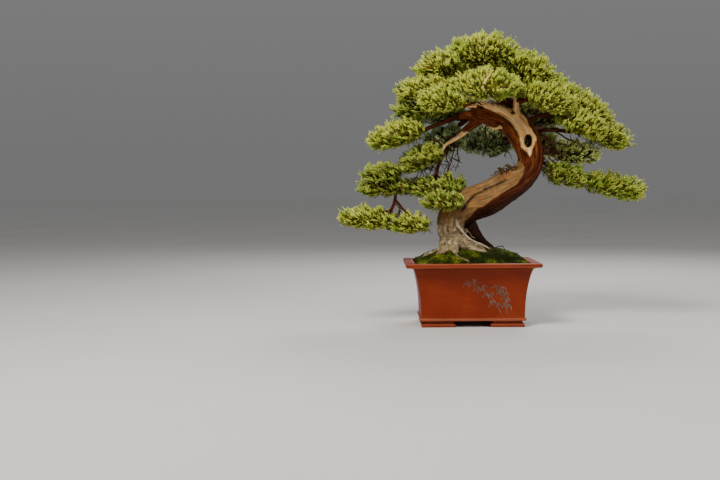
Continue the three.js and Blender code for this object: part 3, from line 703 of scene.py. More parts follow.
# Strips of bare wood on the trunk: [place along TRUNK, first angle, last angle], with 0 degrees to the
# front and 90 to the left of somebody who climbs the trunk.
LOWER_STRIP = [
    [-1, -95, 205], [3.6, -88, 195], [4.6, -60, 175], [5.6, -38, 150], [6.4, -16, 140],
    [7.4, -4, 130], [8.5, -8, 125], [9.3, 6, 118], [10, 30, 108], [10.5, 62, 90],
]
UPPER_STRIP = [
    [11.1, 8, 12], [11.6, -10, 26], [12.1, -28, 34], [12.5, -36, 28], [13.0, -36, 20],
    [13.45, -52, 16], [13.95, -58, 11], [14.2, -22, 9], [14.6, -26, 4], [15.3, -42, -4],
    [16.2, -80, -34], [16.7, -60, -44],
]
TRUNK_FLAT = 0.9  # the trunk's depth over its width
TRUNK_STEPS = 90
THICK = 9.0  # limbs above this radius are fused with the trunk
FUSE_VOXEL, FINE_VOXEL = 0.0022, 0.0024  # in metres, before and after the cuts
GRAIN_SIZE = 46.0  # millimetres for one unit of "grain"
GRAIN_TWIST = 0.0028  # radians for each millimetre along a limb
BORE = 15.0  # reach of the hollow's wall from its axis
BRANCH_AROUND = 10  # corners round a branch
# Thin roots over the foot: how many, between which places they start, and the length of a step.
TANGLE = 46
TANGLE_X, TANGLE_Z = (-92, -14), (232, 300)
TANGLE_STEP = 6.5


def grain_along(run, turn, size):
    """Coordinates that follow a limb: the first one runs along it, and the others go round it."""
    return np.stack([run, size * np.cos(turn), size * np.sin(turn)], -1) / GRAIN_SIZE


def limb_group():
    """[limb, tube settings, dead] for all the wood that is fused into one skin."""
    trunk = dict(around=36, flat=TRUNK_FLAT, ridges=4, ridge=0.06, twist=6)
    group = [(Limb(TRUNK, TRUNK_STEPS), trunk, None)]
    for i, path in enumerate(ROOTS):
        group.append((Limb(path, 20), dict(around=14, ridges=2, ridge=0.12), i not in LIVE_ROOTS))
    for path in DEADWOOD:
        group.append((Limb(path, 6 * len(path)), dict(around=14, ridges=2, ridge=0.1), True))
    for path in BRANCHES:
        thick = [row for row in path if row[3] > THICK]
        if thick:
            rest = path[len(thick) : len(thick) + 1]
            group.append((Limb(thick + rest, 6 * len(thick) + 6), dict(around=14), False))
    return group


def tube_object(name, path, steps, around, squeeze=None):
    points, faces = Limb(path, steps).tube(around)
    if squeeze:
        middle = points.mean(0)
        points = middle + (points - middle) * squeeze
    return new_object(name, new_mesh(name, placed(points), faces))


def front_of_trunk(x, z):
    """Y of the trunk's front skin there, in millimetres."""
    trunk = Limb(TRUNK, TRUNK_STEPS)
    off = np.linalg.norm(trunk.centres[:, [0, 2]] - (x, z), axis=1)
    near = (off - trunk.radii).argmin()
    depth = math.sqrt(max(trunk.radii[near] ** 2 - off[near] ** 2, 0))
    return trunk.centres[near, 1] - TRUNK_FLAT * depth


def strip_depth(strip, place, angle, radius):
    """How far inside a strip a point lies, in millimetres along the bark. Outside is below 0."""
    table = np.array(strip, float)
    first = np.interp(place, table[:, 0], table[:, 1])
    last = np.interp(place, table[:, 0], table[:, 2])
    middle = (first + last) / 2
    off = (angle - middle + 180) % 360 - 180
    depth = np.radians((last - first) / 2 - np.abs(off)) * radius
    beyond = np.maximum(table[0, 0] - place, place - table[-1, 0])
    return np.where(beyond > 0, -20.0, depth)


def nearest_limb(points, limbs):
    """For each point the limb whose skin is nearest, and its nearest ring."""
    centres = np.vstack([limb.centres for limb in limbs]).astype(np.float32)
    radii = np.concatenate([limb.radii for limb in limbs]).astype(np.float32)
    owner = np.concatenate([np.full(len(limb.centres), i) for i, limb in enumerate(limbs)])
    ring = np.concatenate([np.arange(len(limb.centres)) for limb in limbs])
    found = np.zeros(len(points), int)
    for start in range(0, len(points), 4000):
        part = points[start : start + 4000].astype(np.float32)
        away = np.sqrt(((part[:, None] - centres[None]) ** 2).sum(-1)) - radii
        found[start : start + 4000] = away.argmin(1)
    return owner[found], ring[found]


def fused_wood(group, crack_path):
    """One skin round all the limbs, with the hollow and the crack cut out."""
    shape = Shape()
    for limb, settings, _ in group:
        points, faces = limb.tube(**settings)
        shape.add(placed(points), faces)
    hollow = tube_object("hollow", HOLLOW, 24, 24, (1.0, 1.0, HOLLOW_TALL))
    crack = tube_object("crack", crack_path, 30, 10)
    mesh = modified(
        "wood",
        shape.mesh("wood"),
        [
            ("REMESH", dict(mode="VOXEL", voxel_size=FUSE_VOXEL)),
            ("BOOLEAN", dict(operation="DIFFERENCE", object=hollow, solver="EXACT")),
            ("BOOLEAN", dict(operation="DIFFERENCE", object=crack, solver="EXACT")),
            ("REMESH", dict(mode="VOXEL", voxel_size=FINE_VOXEL, use_smooth_shade=True)),
            ("SMOOTH", dict(factor=0.6, iterations=3)),
        ],
    )
    for cutter in (hollow, crack):
        bpy.data.objects.remove(cutter)
    return mesh


def along_limbs(points, group):
    """Each point's limb, place along its path, angle round it, radius there and grain."""
    owner, ring = nearest_limb(points, [limb for limb, _, _ in group])
    place, angle, radius = (np.zeros(len(points)) for _ in range(3))
    grain = np.zeros((len(points), 3))
    for i, (limb, _, _) in enumerate(group):
        mine = owner == i
        at = ring[mine]
        off = points[mine] - limb.centres[at]
        run = limb.run[at] + (off * limb.along[at]).sum(1)
        place[mine] = np.interp(run, limb.run, limb.place)
        sideways, outwards = (off * limb.beside[at]).sum(1), (off * limb.across[at]).sum(1)
        angle[mine] = np.degrees(np.arctan2(sideways, outwards))
        radius[mine] = limb.radii[at]
        turn = np.radians(angle[mine]) + run * GRAIN_TWIST
        size = max(6.0, float(limb.radii.mean()))
        grain[mine] = grain_along(run, turn, size) + (7.3 * i, 0, 0)
    return owner, place, angle, radius, grain


def build_trunk():
    group = limb_group()
    crack_path = [[x, front_of_trunk(x, z) + 0.5, z, r] for x, z, r in CRACK]
    mesh = fused_wood(group, crack_path)
    points = (points_of(mesh) - MIDDLE) / MM
    normals = normals_of(mesh)
    owner, place, angle, radius, grain = along_limbs(points, group)
    kind = np.array([-1 if dead is None else int(dead) for _, _, dead in group])[owner]

    # Where the bare wood shows, how grey and bright it is, and painted light on the upper live bark.
    wander = 5.0 * rough(points, 38.0, 3.0) + 2.2 * rough(points, 11.0, 5.0)
    lower = strip_depth(LOWER_STRIP, place, angle, radius)
    upper = strip_depth(UPPER_STRIP, place, angle, radius)
    inside = np.maximum(lower, upper) + wander
    inside[kind == 1] = 20.0
    inside[kind == 0] = -20.0
    dead = ease(inside, -0.8, 1.6)
    height = points[:, 2]
    grey = ease(-(height + 10 * rough(points, 40.0, 9.0)), -338.0, -292.0)
    vein = owner == 1 + VEIN
    knob = np.isin(owner - 1 - len(ROOTS), KNOBS)
    grey[vein] = 1.0
    pale = np.where(upper > lower, 1.0, 0.0)
    pale[owner > len(ROOTS)] = 1.0
    pale[knob] = 0.0
    # On live bark this is painted light: the bark gets brighter towards the top of the trunk.
    pale = pale * dead + (1 - dead) * ease(height, 430, 560)
    pale[vein] = 1.0

    # Ridges and knots, rougher on the foot and finer on the thin limbs.
    base = ease(-height, -330.0, -270.0)
    long = rough(grain * (1.0, 4.5, 4.5), 1.0, 1.0)
    fine = rough(grain * (2.2, 13.0, 13.0), 1.0, 2.0)
    knots = rough(points, 17.0, 6.0)
    live = 2.0 * (0.5 - np.abs(long)) + 1.5 * (0.35 - np.abs(fine)) + 1.2 * knots
    bare = 1.4 * (0.4 - np.abs(long)) + 0.7 * (0.35 - np.abs(fine)) + 0.5 * knots
    gnarl = 4.2 * (0.32 - np.abs(long)) + 1.8 * (0.3 - np.abs(fine)) + 3.2 * knots * base
    bare = bare * (1 - base) + gnarl * base
    lip = 1.1 * np.exp(-((inside + 3.0) / 3.5) ** 2) * (kind < 0)
    relief = (live + 1.4 + lip) * (1 - dead) + (bare - 0.8) * dead
    slim = np.clip(radius / 22.0, 0.16, 1.0)
    relief = relief * slim

    # Painted shade, through "low": near black inside the hollow and along the crack, darker in the dips
    # between ridges, on the buttress under the leaning trunk, on the foot's right side and on live wood
    # that faces down. The knobs are darkened too, for their own dark colour.
    centre = np.array([HOLLOW[1][0], 0, HOLLOW[1][2]])
    off = (points - centre) * (1.0, 0.0, 1 / HOLLOW_TALL)
    bore = (np.linalg.norm(off, axis=1) < BORE) & (owner == 0) & (np.abs(normals[:, 1]) < 0.7)
    relief[bore] *= 0.2
    deep = np.where(bore & (points[:, 1] > -52), 1.0, 0.0)
    dip_shade = ease(-relief / slim, 0.7, 2.6) * 0.75
    points = points + normals * relief[:, None]
    crack_line = Limb(crack_path, 40)
    away = np.full(len(points), 99.0)
    for middle, reach in zip(crack_line.centres, crack_line.radii):
        away = np.minimum(away, np.linalg.norm(points - middle, axis=1) - reach)
    deep = np.maximum(deep, 1 - ease(away + 1.5 * rough(points, 6.0, 2.0), -0.5, 2.5))
    low = np.clip(np.maximum(dip_shade, deep), 0, 1)
    low = np.maximum(low, 0.72 * knob)
    low = np.maximum(low, 0.85 * (owner == 1 + BUTTRESS))
    underside_shade = ease(-normals[:, 2], 0.15, 0.8)
    low = np.maximum(low, 0.6 * underside_shade * (1 - dead) * ease(-height, -470, -420))
    right = ease(points[:, 0] - 0.2 * (300 - height), -14, 8)
    low = np.maximum(low, right * ease(-height, -330, -290) * (1 - dead) * 0.75)

    mesh.vertices.foreach_set("co", placed(points).astype(np.float32).ravel())
    mesh.update()
    set_values(mesh, dead=dead, grey=grey, pale=pale, low=low, grain=grain)
    mesh.polygons.foreach_set("use_smooth", np.full(len(mesh.polygons), True))
    add_piece("trunk_bark", mesh, WOOD, "bark", "trunk")


def mound_front(x, z):
    """Y of the mound's front slope at that height, or None above the mound and outside of the pot."""
    side = 1 - abs(x / PLANT_X) ** MOUND_FLAT
    if side <= 0 or not 0 < (z - MOUND_EDGE) / MOUND_RISE < side:
        return None
    return -PLANT_Y * (1 - (z - MOUND_EDGE) / MOUND_RISE / side) ** (1 / MOUND_FLAT)


def front_skin(tree, x, z):
    """Y of the wood or moss that shows from the front there, or None."""
    hit = tree.ray_cast(Vector(placed((x, -220.0, z))), Vector((0, 1, 0)), 0.3)[0]
    moss = mound_front(x, z)
    found = [y for y in (hit and (hit.y - MIDDLE[1]) / MM, moss) if y is not None]
    return min(found) if found else None


def build_tangle():
    """Thin roots that wander down over the foot of the tree, laid on the skin as seen from the front."""
    bark = bpy.data.objects["trunk_bark"].data
    tree = skin_tree(points_of(bark), triangles_of(bark))
    random = np.random.default_rng(77)
    shape = Shape()
    for i in range(TANGLE):
        x, z = random.uniform(*TANGLE_X), random.uniform(*TANGLE_Z)
        heading = math.radians(-90) + (x + 52) * 0.018 + random.normal(0, 0.35)
        radius = random.uniform(1.6, 3.0)
        rows = []
        for _ in range(12):
            y = front_skin(tree, x, z)
            if y is None or (rows and abs(y - rows[-1][1]) > 9):
                break
            rows.append([x, y + 0.3 * radius, z, radius])
            heading += random.normal(0, 0.5)
            x, z = x + TANGLE_STEP * math.cos(heading), z + TANGLE_STEP * math.sin(heading)
            radius = max(radius * 0.95, 1.2)
        if len(rows) < 4:
            continue
        rows[0][3] = rows[-1][3] = 0.8
        limb = Limb(rows, 3 * len(rows))
        points, faces = limb.tube(7)
        grain = np.stack([points[:, 2] / GRAIN_SIZE + i, points[:, 0] / 20.0, points[:, 1] / 20.0], 1)
        one, bright = np.ones(len(points)), np.full(len(points), random.uniform(0, 0.5))
        values = dict(dead=one, grey=one, pale=bright, low=0.3 * (0.5 - bright), grain=grain)
        shape.add(placed(points), faces, **values)
    add_piece("root_tangle", shape.mesh("root_tangle"), WOOD, "bark")


def build_branches():
    """The thinner parts of the branches, as tubes that come out of the fused wood."""
    shape = Shape()
    for i, path in enumerate(BRANCHES):
        thick = sum(row[3] > THICK for row in path)
        rows = path[max(thick - 1, 0) :]
        limb = Limb(rows, 9 * len(rows))
        points, faces = limb.tube(BRANCH_AROUND, ridges=3, ridge=0.08, twist=9)
        bumps = rough(points, 9.0, float(i)) * 0.9 + rough(points, 24.0, float(i)) * 1.2
        last = len(limb.centres) - 1
        rings = np.concatenate([np.repeat(np.arange(last + 1), BRANCH_AROUND), [0, last]])
        out = points - limb.centres[rings]
        points = points + unit(out) * (bumps * np.clip(limb.radii[rings] / 7.0, 0.25, 1.0))[:, None]
        turn = np.arctan2((out * limb.beside[rings]).sum(1), (out * limb.across[rings]).sum(1))
        size = max(4.0, float(limb.radii.mean()))
        grain = grain_along(limb.run[rings], turn, size) + (3.1 * i, 0, 0)
        none = np.zeros(len(points))
        shape.add(placed(points), faces, dead=none, grey=none, pale=none, low=none, grain=grain)
    add_piece("branches", shape.mesh("branches"), WOOD, "bark")


# Foliage.
def read_pads():
    """Each foliage node's triangles, in metres, by its name."""
    pads = {}
    for name in sorted(frame["nodes"]):
        if name.startswith("foliage_"):
            mesh = frame["nodes"][name].data
            pads[name] = (points_of(mesh), triangles_of(mesh))
    return pads


def foliage_tree(pads):
    points, faces, count = [], [], 0
    for corners, triangles in pads.values():
        points.append(corners)
        faces.append(triangles + count)
        count += len(corners)
    return skin_tree(np.vstack(points), np.vstack(faces))


# Square metres of a pad's skin for one bunch of shoots, and how deep a pad's dark core lies.
BUNCH_AREA = {"foliage_bright": 53e-6, "foliage_middle": 55e-6, "foliage_shaded": 76e-6}
CORE_DEPTH = {"foliage_bright": 0.009, "foliage_middle": 0.010, "foliage_shaded": 0.015}
TREE_AXIS = placed((60, 0, 0))
BELLY = 0.6  # where a shoot is thickest, as a share of its length
MAIN_LENGTH, MAIN_RADIUS = (0.022, 0.033), (0.00125, 0.00165)
# Each bunch has a main shoot with side shoots, which leave it at a share of its length and to a side.
SIDE_SHOOTS = ((0.45, 1, 0.5), (0.55, -1, 0.4), (0.66, 0.5, -1), (0.76, -0.7, 0.6))
SIDE_TURN = (0.25, 0.45)
SIDE_LENGTH = (0.28, 0.38)  # as a share of the main shoot's
SIDE_RADIUS = (0.0009, 0.0012)
BROWNED = 0.012  # the share of bunches that are brown
STRAY = 0.05  # the share of bunches that stand out further
BURIED = 0.012  # bunches that lie less than this under another pad's skin are mostly left out
FEELER = 0.03  # how far a bunch looks for other pads


def fingers(base, direction, length, radius, random):
    """Slim closed shoots with three sides: points, triangles and each point's way to the tip."""
    count = len(base)
    helper = unit(random.normal(size=(count, 3)))
    side = unit(np.cross(direction, helper))
    other = np.cross(direction, side)
    angles = np.array([0, 2 * np.pi / 3, 4 * np.pi / 3])
    belly = base + direction * (length * BELLY)[:, None]
    ring = [belly + (side * math.cos(a) + other * math.sin(a)) * radius[:, None] for a in angles]
    points = np.stack([base, *ring, base + direction * length[:, None]], 1).reshape(-1, 3)
    pattern = np.array([[0, 2, 1], [0, 3, 2], [0, 1, 3], [4, 1, 2], [4, 2, 3], [4, 3, 1]])
    faces = (pattern[None] + 5 * np.arange(count)[:, None, None]).reshape(-1, 3)
    return points, faces, np.tile([0.0, BELLY, BELLY, BELLY, 1.0], count)


def build_pad(name, corners, triangles, tree, slot, random):
    """Bunches of shoots all over a pad's skin, and a dark core inside."""
    a, b, c = (corners[triangles[:, k]] for k in range(3))
    cross = np.cross(b - a, c - a)
    area = np.linalg.norm(cross, axis=1) / 2
    normal = unit(cross)
    weight = area * np.interp(normal[:, 2], [-0.8, -0.2, 0.3], [0.4, 0.8, 1.0])
    count = int(weight.sum() / BUNCH_AREA[slot])
    pick = random.choice(len(triangles), count, p=weight / weight.sum())
    u, v = random.random((2, count))
    flip = u + v > 1
    u[flip], v[flip] = 1 - u[flip], 1 - v[flip]
    spot = a[pick] + (b - a)[pick] * u[:, None] + (c - a)[pick] * v[:, None]
    out = normal[pick]
    low, high = (np.array(corner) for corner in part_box(name))
    middle = (low + high) / 2 - (0, 0, 0.25 * (high[2] - low[2]))
    radial = unit((spot - middle) / ((high - low) / 2) ** 2)
    away = (spot - TREE_AXIS) * (1, 1, 0) / 0.16
    away = away / np.maximum(np.linalg.norm(away, axis=1, keepdims=True), 1.0)
    lift = np.interp(out[:, 2], [-0.6, 0.2], [0.05, 0.55])[:, None]
    flow = (0.75 * away + 0.5 * radial) * (1, 0.6, 1)
    sway = np.stack([rough(spot, 0.03, 20.0), rough(spot, 0.03, 40.0), rough(spot, 0.03, 60.0)], 1)
    aim = unit(flow + 0.25 * out + lift * (0, 0, 1) + 0.35 * sway + 0.15 * random.normal(size=out.shape))

    keep = np.ones(count, bool)
    chance = random.random(count)
    for i in range(count):
        start = Vector(spot[i] + out[i] * 0.0006)
        over = tree.ray_cast(start, Vector(out[i]), FEELER)[3]
        ahead = tree.ray_cast(start, Vector(aim[i]), FEELER)[3]
        buried = over is not None and over < BURIED and chance[i] < 0.85
        blocked = ahead is not None and chance[i] < 0.4
        keep[i] = not (buried or blocked)
    spot, aim, out = spot[keep], aim[keep], out[keep]
    count = len(spot)

    shape = Shape()
    lot = np.clip(random.random(count) * 0.82 + 0.1 + 0.12 * rough(spot, 0.03, 6.0), 0, 0.98)
    lot[random.random(count) < BROWNED] = 1.0
    reach = random.uniform(*MAIN_LENGTH, count) * np.interp(out[:, 2], [-0.7, 0.1], [0.8, 1.0])
    swell = rough(spot, 0.021, 2.0)
    stray = random.random(count) < STRAY
    base = spot - aim * (reach * np.where(stray, 0.45, 0.7 - 0.2 * swell))[:, None]
    side = unit(np.cross(aim, unit(random.normal(size=aim.shape))))
    points, faces, way = fingers(base, aim, reach, random.uniform(*MAIN_RADIUS, count), random)
    shape.add(points, [faces], shoot=np.stack([way, np.repeat(lot, 5), 0 * way], 1))
    other = np.cross(aim, side)
    for share, hand, tilt in SIDE_SHOOTS:
        start = base + aim * (reach * share)[:, None]
        turn = random.uniform(*SIDE_TURN, count)[:, None]
        across = unit(side * hand + other * tilt + 0.3 * random.normal(size=aim.shape))
        lean = unit(aim * np.cos(turn) + across * np.sin(turn))
        size = reach * random.uniform(*SIDE_LENGTH, count)
        points, faces, way = fingers(start, lean, size, random.uniform(*SIDE_RADIUS, count), random)
        mixed = np.where(lot > 0.99, lot, np.clip(lot + random.normal(0, 0.26, count), 0, 0.98))
        way = 0.8 * share + way * (1.02 - 0.8 * share)
        shape.add(points, [faces], shoot=np.stack([way, np.repeat(mixed, 5), 0 * way], 1))

    keys, back = np.unique(np.round(corners, 6), axis=0, return_inverse=True)
    back = back.reshape(-1)
    skin = back[triangles]
    push = np.zeros_like(keys)
    for k in range(3):
        np.add.at(push, skin[:, k], cross)
    core = keys - unit(push) * CORE_DEPTH[slot]
    shape.add(core, [skin], shoot=np.tile([0.0, 0.5, 1.0], (len(core), 1)))
    add_piece(name + "_shoots", shape.mesh(name), SHOOTS[slot], slot, name)


def build_foliage(pads):
    tree = foliage_tree(pads)
    slots = {row["node"]: row["material_slot"] for row in frame["record"]["subparts"]}
    for i, (name, (corners, triangles)) in enumerate(pads.items()):
        build_pad(name, corners, triangles, tree, slots[name], np.random.default_rng(500 + i))


# Thin bare branches in the gaps: [x, y, z, radius] rows.
BARE_TWIGS = [
    [[188, -36, 600, 3.4], [236, -44, 588, 2.8], [290, -50, 556, 2.2], [330, -48, 540, 1.2]],
    [[190, -34, 578, 3.2], [232, -40, 556, 2.6], [262, -44, 520, 2], [296, -46, 500, 1.2]],
    [[192, -32, 566, 3], [222, -36, 530, 2.4], [240, -40, 496, 1.8], [268, -40, 476, 1]],
    [[196, -26, 520, 2.8], [222, -30, 500, 2.2], [246, -34, 470, 1.6], [258, -34, 450, 1]],
    [[190, -30, 620, 3], [232, -40, 622, 2.6], [280, -52, 604, 2], [336, -56, 590, 1.2]],
    [[180, -30, 640, 3], [220, -44, 652, 2.4], [262, -56, 640, 1.8], [300, -60, 628, 1]],
    [[128, -34, 640, 3], [96, -46, 664, 2.4], [70, -60, 668, 1.8], [40, -66, 682, 1]],
    [[60, -30, 652, 2.6], [18, -44, 668, 2], [-20, -50, 690, 1.6], [-54, -54, 694, 1]],
    [[60, 30, 616, 3], [52, 60, 588, 2.4], [60, 76, 556, 1.8], [50, 84, 520, 1]],
    [[96, 20, 596, 3], [104, 56, 570, 2.4], [120, 74, 540, 1.8], [116, 80, 508, 1]],
    [[20, 26, 620, 2.8], [-2, 50, 590, 2.2], [4, 66, 556, 1.7], [-8, 76, 524, 1]],
    [[-58, 18, 540, 2.8], [-70, 30, 508, 2.2], [-60, 40, 480, 1.6], [-72, 44, 456, 1]],
    [[-90, 14, 500, 2.6], [-116, 6, 476, 2], [-128, 2, 450, 1.5], [-146, 0, 436, 1]],
    [[-40, 0, 570, 2.8], [-82, -10, 566, 2.2], [-118, -18, 548, 1.6], [-150, -22, 536, 1]],
    [[-46, 0, 540, 2.6], [-54, -8, 506, 2.2], [-66, -12, 466, 1.7], [-72, -14, 436, 1.1]],
    [[-30, 2, 566, 2.4], [-38, -6, 526, 2], [-36, -10, 492, 1.5], [-46, -12, 466, 1]],
    [[-88, -4, 516, 2.4], [-100, -12, 486, 1.9], [-108, -16, 458, 1.5], [-120, -18, 436, 1]],
    [[-124, -6, 500, 2.4], [-136, -12, 474, 1.9], [-156, -16, 460, 1.5], [-170, -18, 440, 1]],
    [[186, -34, 590, 3], [216, -44, 570, 2.4], [248, -50, 548, 1.8], [274, -52, 540, 1.1]],
    [[194, -30, 548, 2.8], [226, -40, 524, 2.3], [250, -44, 502, 1.7], [282, -46, 492, 1.1]],
    [[186, -26, 500, 2.8], [214, -34, 478, 2.3], [248, -38, 452, 1.7], [276, -38, 444, 1.1]],
    [[64, -58, 216, 1.5], [74, -62, 236, 1.4], [90, -62, 240, 1.2], [104, -58, 215, 0.9]],
    [[92, -38, 458, 2.2], [84, -50, 464, 1.8], [76, -55, 461, 1.5], [69, -57, 463, 1]],
    [[110, -42, 466, 2.2], [102, -54, 472, 1.7], [94, -58, 470, 1.4], [88, -60, 473, 1]],
    [[142, -36, 470, 2.2], [132, -50, 477, 1.7], [120, -54, 474, 1.4], [112, -56, 478, 1]],
    [[150, -36, 476, 2.2], [158, -46, 482, 1.7], [166, -50, 479, 1.3], [172, -52, 483, 1]],
    [[-230, -4, 372, 2.4], [-214, -14, 350, 2], [-216, -18, 334, 1.5], [-204, -20, 322, 1]],
    [[-240, -6, 352, 2.4], [-262, -16, 342, 2], [-280, -20, 330, 1.5], [-300, -22, 326, 1]],
]
TWIGS_PER_PAD = 16


def build_twigs(pads):
    """Twigs from the branches into the pads, and the bare twigs with their side twigs."""
    random = np.random.default_rng(77)
    limbs = [Limb(path, 24) for path in BRANCHES]
    samples = np.vstack([limb.centres for limb in limbs])
    radii = np.concatenate([limb.radii for limb in limbs])
    shape = Shape()
    for name in pads:
        low, high = ((np.array(corner) - MIDDLE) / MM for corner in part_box(name))
        middle = (low + high) / 2
        half = (high - low) / 2
        away = (((samples - middle) / (half * 1.15)) ** 2).sum(1)
        near = np.flatnonzero((away < 1.0) & (radii < 12))
        if not len(near):
            near = np.argsort(away)[:6]
        for _ in range(TWIGS_PER_PAD):
            root = samples[random.choice(near)]
            turn = random.uniform(0, 2 * np.pi)
            far = random.uniform(0.45, 0.9)
            level = random.uniform(-0.45, 0.1)
            tip = middle + half * np.array([math.cos(turn) * far, math.sin(turn) * far, level])
            bend = (root + tip) / 2 + random.normal(0, 7, 3) - (0, 0, 5)
            thick = random.uniform(1.3, 2.2)
            path = [[*root, thick], [*bend, thick * 0.75], [*tip, 0.6]]
            points, faces = Limb(path, 6).tube(5)
            points = points + rough(points, 7.0, 2.0)[:, None] * 0.6
            shape.add(placed(points), faces)
    for path in BARE_TWIGS:
        twig = Limb(path, 18)
        points, faces = twig.tube(6)
        points = points + rough(points, 16.0, 3.0)[:, None] * (2.2, 1.0, -2.6)
        shape.add(placed(points), faces)
        for _ in range(8 if path[0][3] > 2.3 else 3):
            root = twig.centres[random.integers(4, 17)]
            tip = root + random.normal(0, 16, 3) * (1, 0.6, 1) + (0, 0, -8)
            bend = (root + tip) / 2 + random.normal(0, 3, 3)
            points, faces = Limb([[*root, 1.5], [*bend, 1.1], [*tip, 0.6]], 6).tube(4)
            shape.add(placed(points), faces)
    add_piece("twigs", shape.mesh("twigs"), TWIG, "bark")


# The planting.
POT_LENGTH, POT_DEPTH = 400.0, 290.0
RIM_WIDTH = 28.0
MOUND_EDGE, MOUND_RISE = 186.0, 43.0
MOUND_FLAT = 3.4  # a larger power gives a flatter top and steeper sides
PLANT_X, PLANT_Y = POT_LENGTH / 2 - RIM_WIDTH, POT_DEPTH / 2 - RIM_WIDTH
MOSS_AROUND, MOSS_RINGS = 168, 54
MOSS_CORNER = 7  # the power that squares the moss's outline
MOSS_UNDERSIDE = 205.0
MOSS_SEAM = 0.99  # the moss's reach as a share of the opening's
BLADES = 7500
BLADE_LENGTH, BLADE_RADIUS = (2.6, 6.5), (0.45, 0.75)


def mound_height(x, y):
    fall = (1 - np.abs(x / PLANT_X) ** MOUND_FLAT) * (1 - np.abs(y / PLANT_Y) ** MOUND_FLAT)
    return MOUND_EDGE + MOUND_RISE * np.maximum(0, fall)


def build_moss():
    around, rings = MOSS_AROUND, MOSS_RINGS
    angle = np.linspace(0, -2 * np.pi, around, endpoint=False)
    reach = np.abs(np.cos(angle)) ** MOSS_CORNER + np.abs(np.sin(angle)) ** MOSS_CORNER
    reach = reach ** (-1 / MOSS_CORNER)
    top = np.sqrt(np.linspace(1 / rings, 1, rings)) * 0.985
    shares = np.concatenate([top, [0.992, 0.98, 0.93, 0.6]])
    drops = np.concatenate([np.zeros(rings), [-3.0, -8.0, -11.0, -13.0]])
    x = shares[:, None] * PLANT_X * MOSS_SEAM * reach * np.cos(angle)
    y = shares[:, None] * PLANT_Y * MOSS_SEAM * reach * np.sin(angle)
    flat = np.stack([x.ravel(), y.ravel(), 0 * x.ravel()], 1)
    lumps = 3.2 * (np.sin(x / 11 + 1.3) * np.cos(y / 9) + 0.6 * np.sin(x / 23 - y / 17 + 0.4))
    small = (3.4 * rough(flat, 15.0, 4.0) + 1.8 * rough(flat, 5.0, 8.0)).reshape(x.shape)
    z = mound_height(x, y) + (lumps * 0.9 + small) * (drops == 0)[:, None] + drops[:, None]
    ends = [[0, 0, mound_height(0, 0)], [0, 0, MOSS_UNDERSIDE]]
    points = np.vstack([np.stack([x, y, z], -1).reshape(-1, 3), ends])
    faces = [np.roll(group, -1, axis=1) for group in tube_faces(len(shares), around)]
    shape = Shape()
    shape.add(placed(points), faces, tip=np.zeros(len(points)))

    random = np.random.default_rng(31)
    surface = points[: rings * around].reshape(rings, around, 3)
    i = (random.random(BLADES) * (rings - 1)).astype(int)
    j = random.integers(0, around, BLADES)
    u, v = random.random((2, BLADES, 1))
    low = surface[i, j] * (1 - v) + surface[i, (j + 1) % around] * v
    high = surface[i + 1, j] * (1 - v) + surface[i + 1, (j + 1) % around] * v
    spot = low * (1 - u) + high * u
    outward = np.stack([spot[:, 0] / PLANT_X, spot[:, 1] / PLANT_Y, 0 * spot[:, 0]], 1) * 0.35
    aim = unit(outward + (0, 0, 1) + 0.45 * random.normal(size=spot.shape))
    length, radius = random.uniform(*BLADE_LENGTH, BLADES), random.uniform(*BLADE_RADIUS, BLADES)
    blades, faces, way = fingers(spot - aim * 0.8, aim, length, radius, random)
    shape.add(placed(blades), [faces], tip=way)
    add_piece("moss_carpet", shape.mesh("moss_carpet"), MOSS, "moss", "moss")


# The pot. Its profile goes from the underside up the outside and down the inside, as rows of how far in
# from the rim's edge a point lies and how high.
OUTSIDE = [
    [50, 19], [44.2, 19], [42.6, 19.6], [42, 21], [42, 25], [42.6, 26.4], [44, 27], [45.4, 27.4],
    [46, 28.6], [45.8, 40], [45, 60], [43.8, 78], [42, 95], [39.8, 112], [37, 128], [33.8, 143],
    [30, 158], [26.4, 168], [23, 175], [18, 177.4], [14, 178], [5, 179.2], [2.2, 179.8],
    [0.8, 180.8], [0, 183], [0, 186], [0, 189], [0.7, 191], [2.4, 192],
]
INSIDE = [
    [8, 192], [20, 192], [25.6, 192], [27.3, 191], [28, 189], [31, 170], [34, 155], [40, 140],
    [49, 115], [54, 90], [56, 60], [57, 38], [59, 34], [63, 32],
]
WALL_ROWS = slice(8, 19)  # the wall between the moulding and the rim, in OUTSIDE
CORNER_STEPS = 7
CORNER_RADIUS = (6.5, 4.0)  # at the rim's edge, and 60 mm in from it
DRAIN_X, DRAIN_RADIUS = 70.0, 14.0
# Each corner has a foot and the moulding's step over it: the inset, the width of the L's arms, their
# lengths along X and Y, and the lowest and highest level.
FEET = [(47, 26, 100, 80, 0, 10), (53, 17, 88, 70.4, 9.3, 19.6)]
# Edges where the clay is worn pale: how far in, how high, and how wide the worn band is.
WORN_EDGES = [(1, 191.5, 1.6), (0.6, 181, 1.6), (27, 191.6, 1.5), (42.3, 25.8, 1.4), (42.3, 20, 1.4)]
WORN_FOOT = 9.3


def wall_inset(height):
    """How far the outer wall stands in from the rim's edge at a height."""
    rows = np.array(OUTSIDE[WALL_ROWS])
    return np.interp(height, rows[:, 1], rows[:, 0])


def foot_points(sign_x, sign_y, inset, width, length_x, length_y, low, high):
    """Points and faces of an L-shaped block at one corner."""
    x, y = POT_LENGTH / 2 - inset, POT_DEPTH / 2 - inset
    outline = [(x, y), (x, y - length_y), (x - width, y - length_y), (x - width, y - width)]
    outline += [(x - length_x, y - width), (x - length_x, y)]
    outline = [(sign_x * px, sign_y * py) for px, py in outline]
    if sign_x * sign_y > 0:
        outline.reverse()
    points = np.array([[px, py, z] for z in (low, high) for px, py in outline], float)
    ring = np.arange(6)
    after = (ring + 1) % 6
    walls = np.stack([ring, ring + 6, after + 6, after], -1)
    return points, [walls, np.array([[0, 1, 2, 3, 4, 5], [11, 10, 9, 8, 7, 6]])]


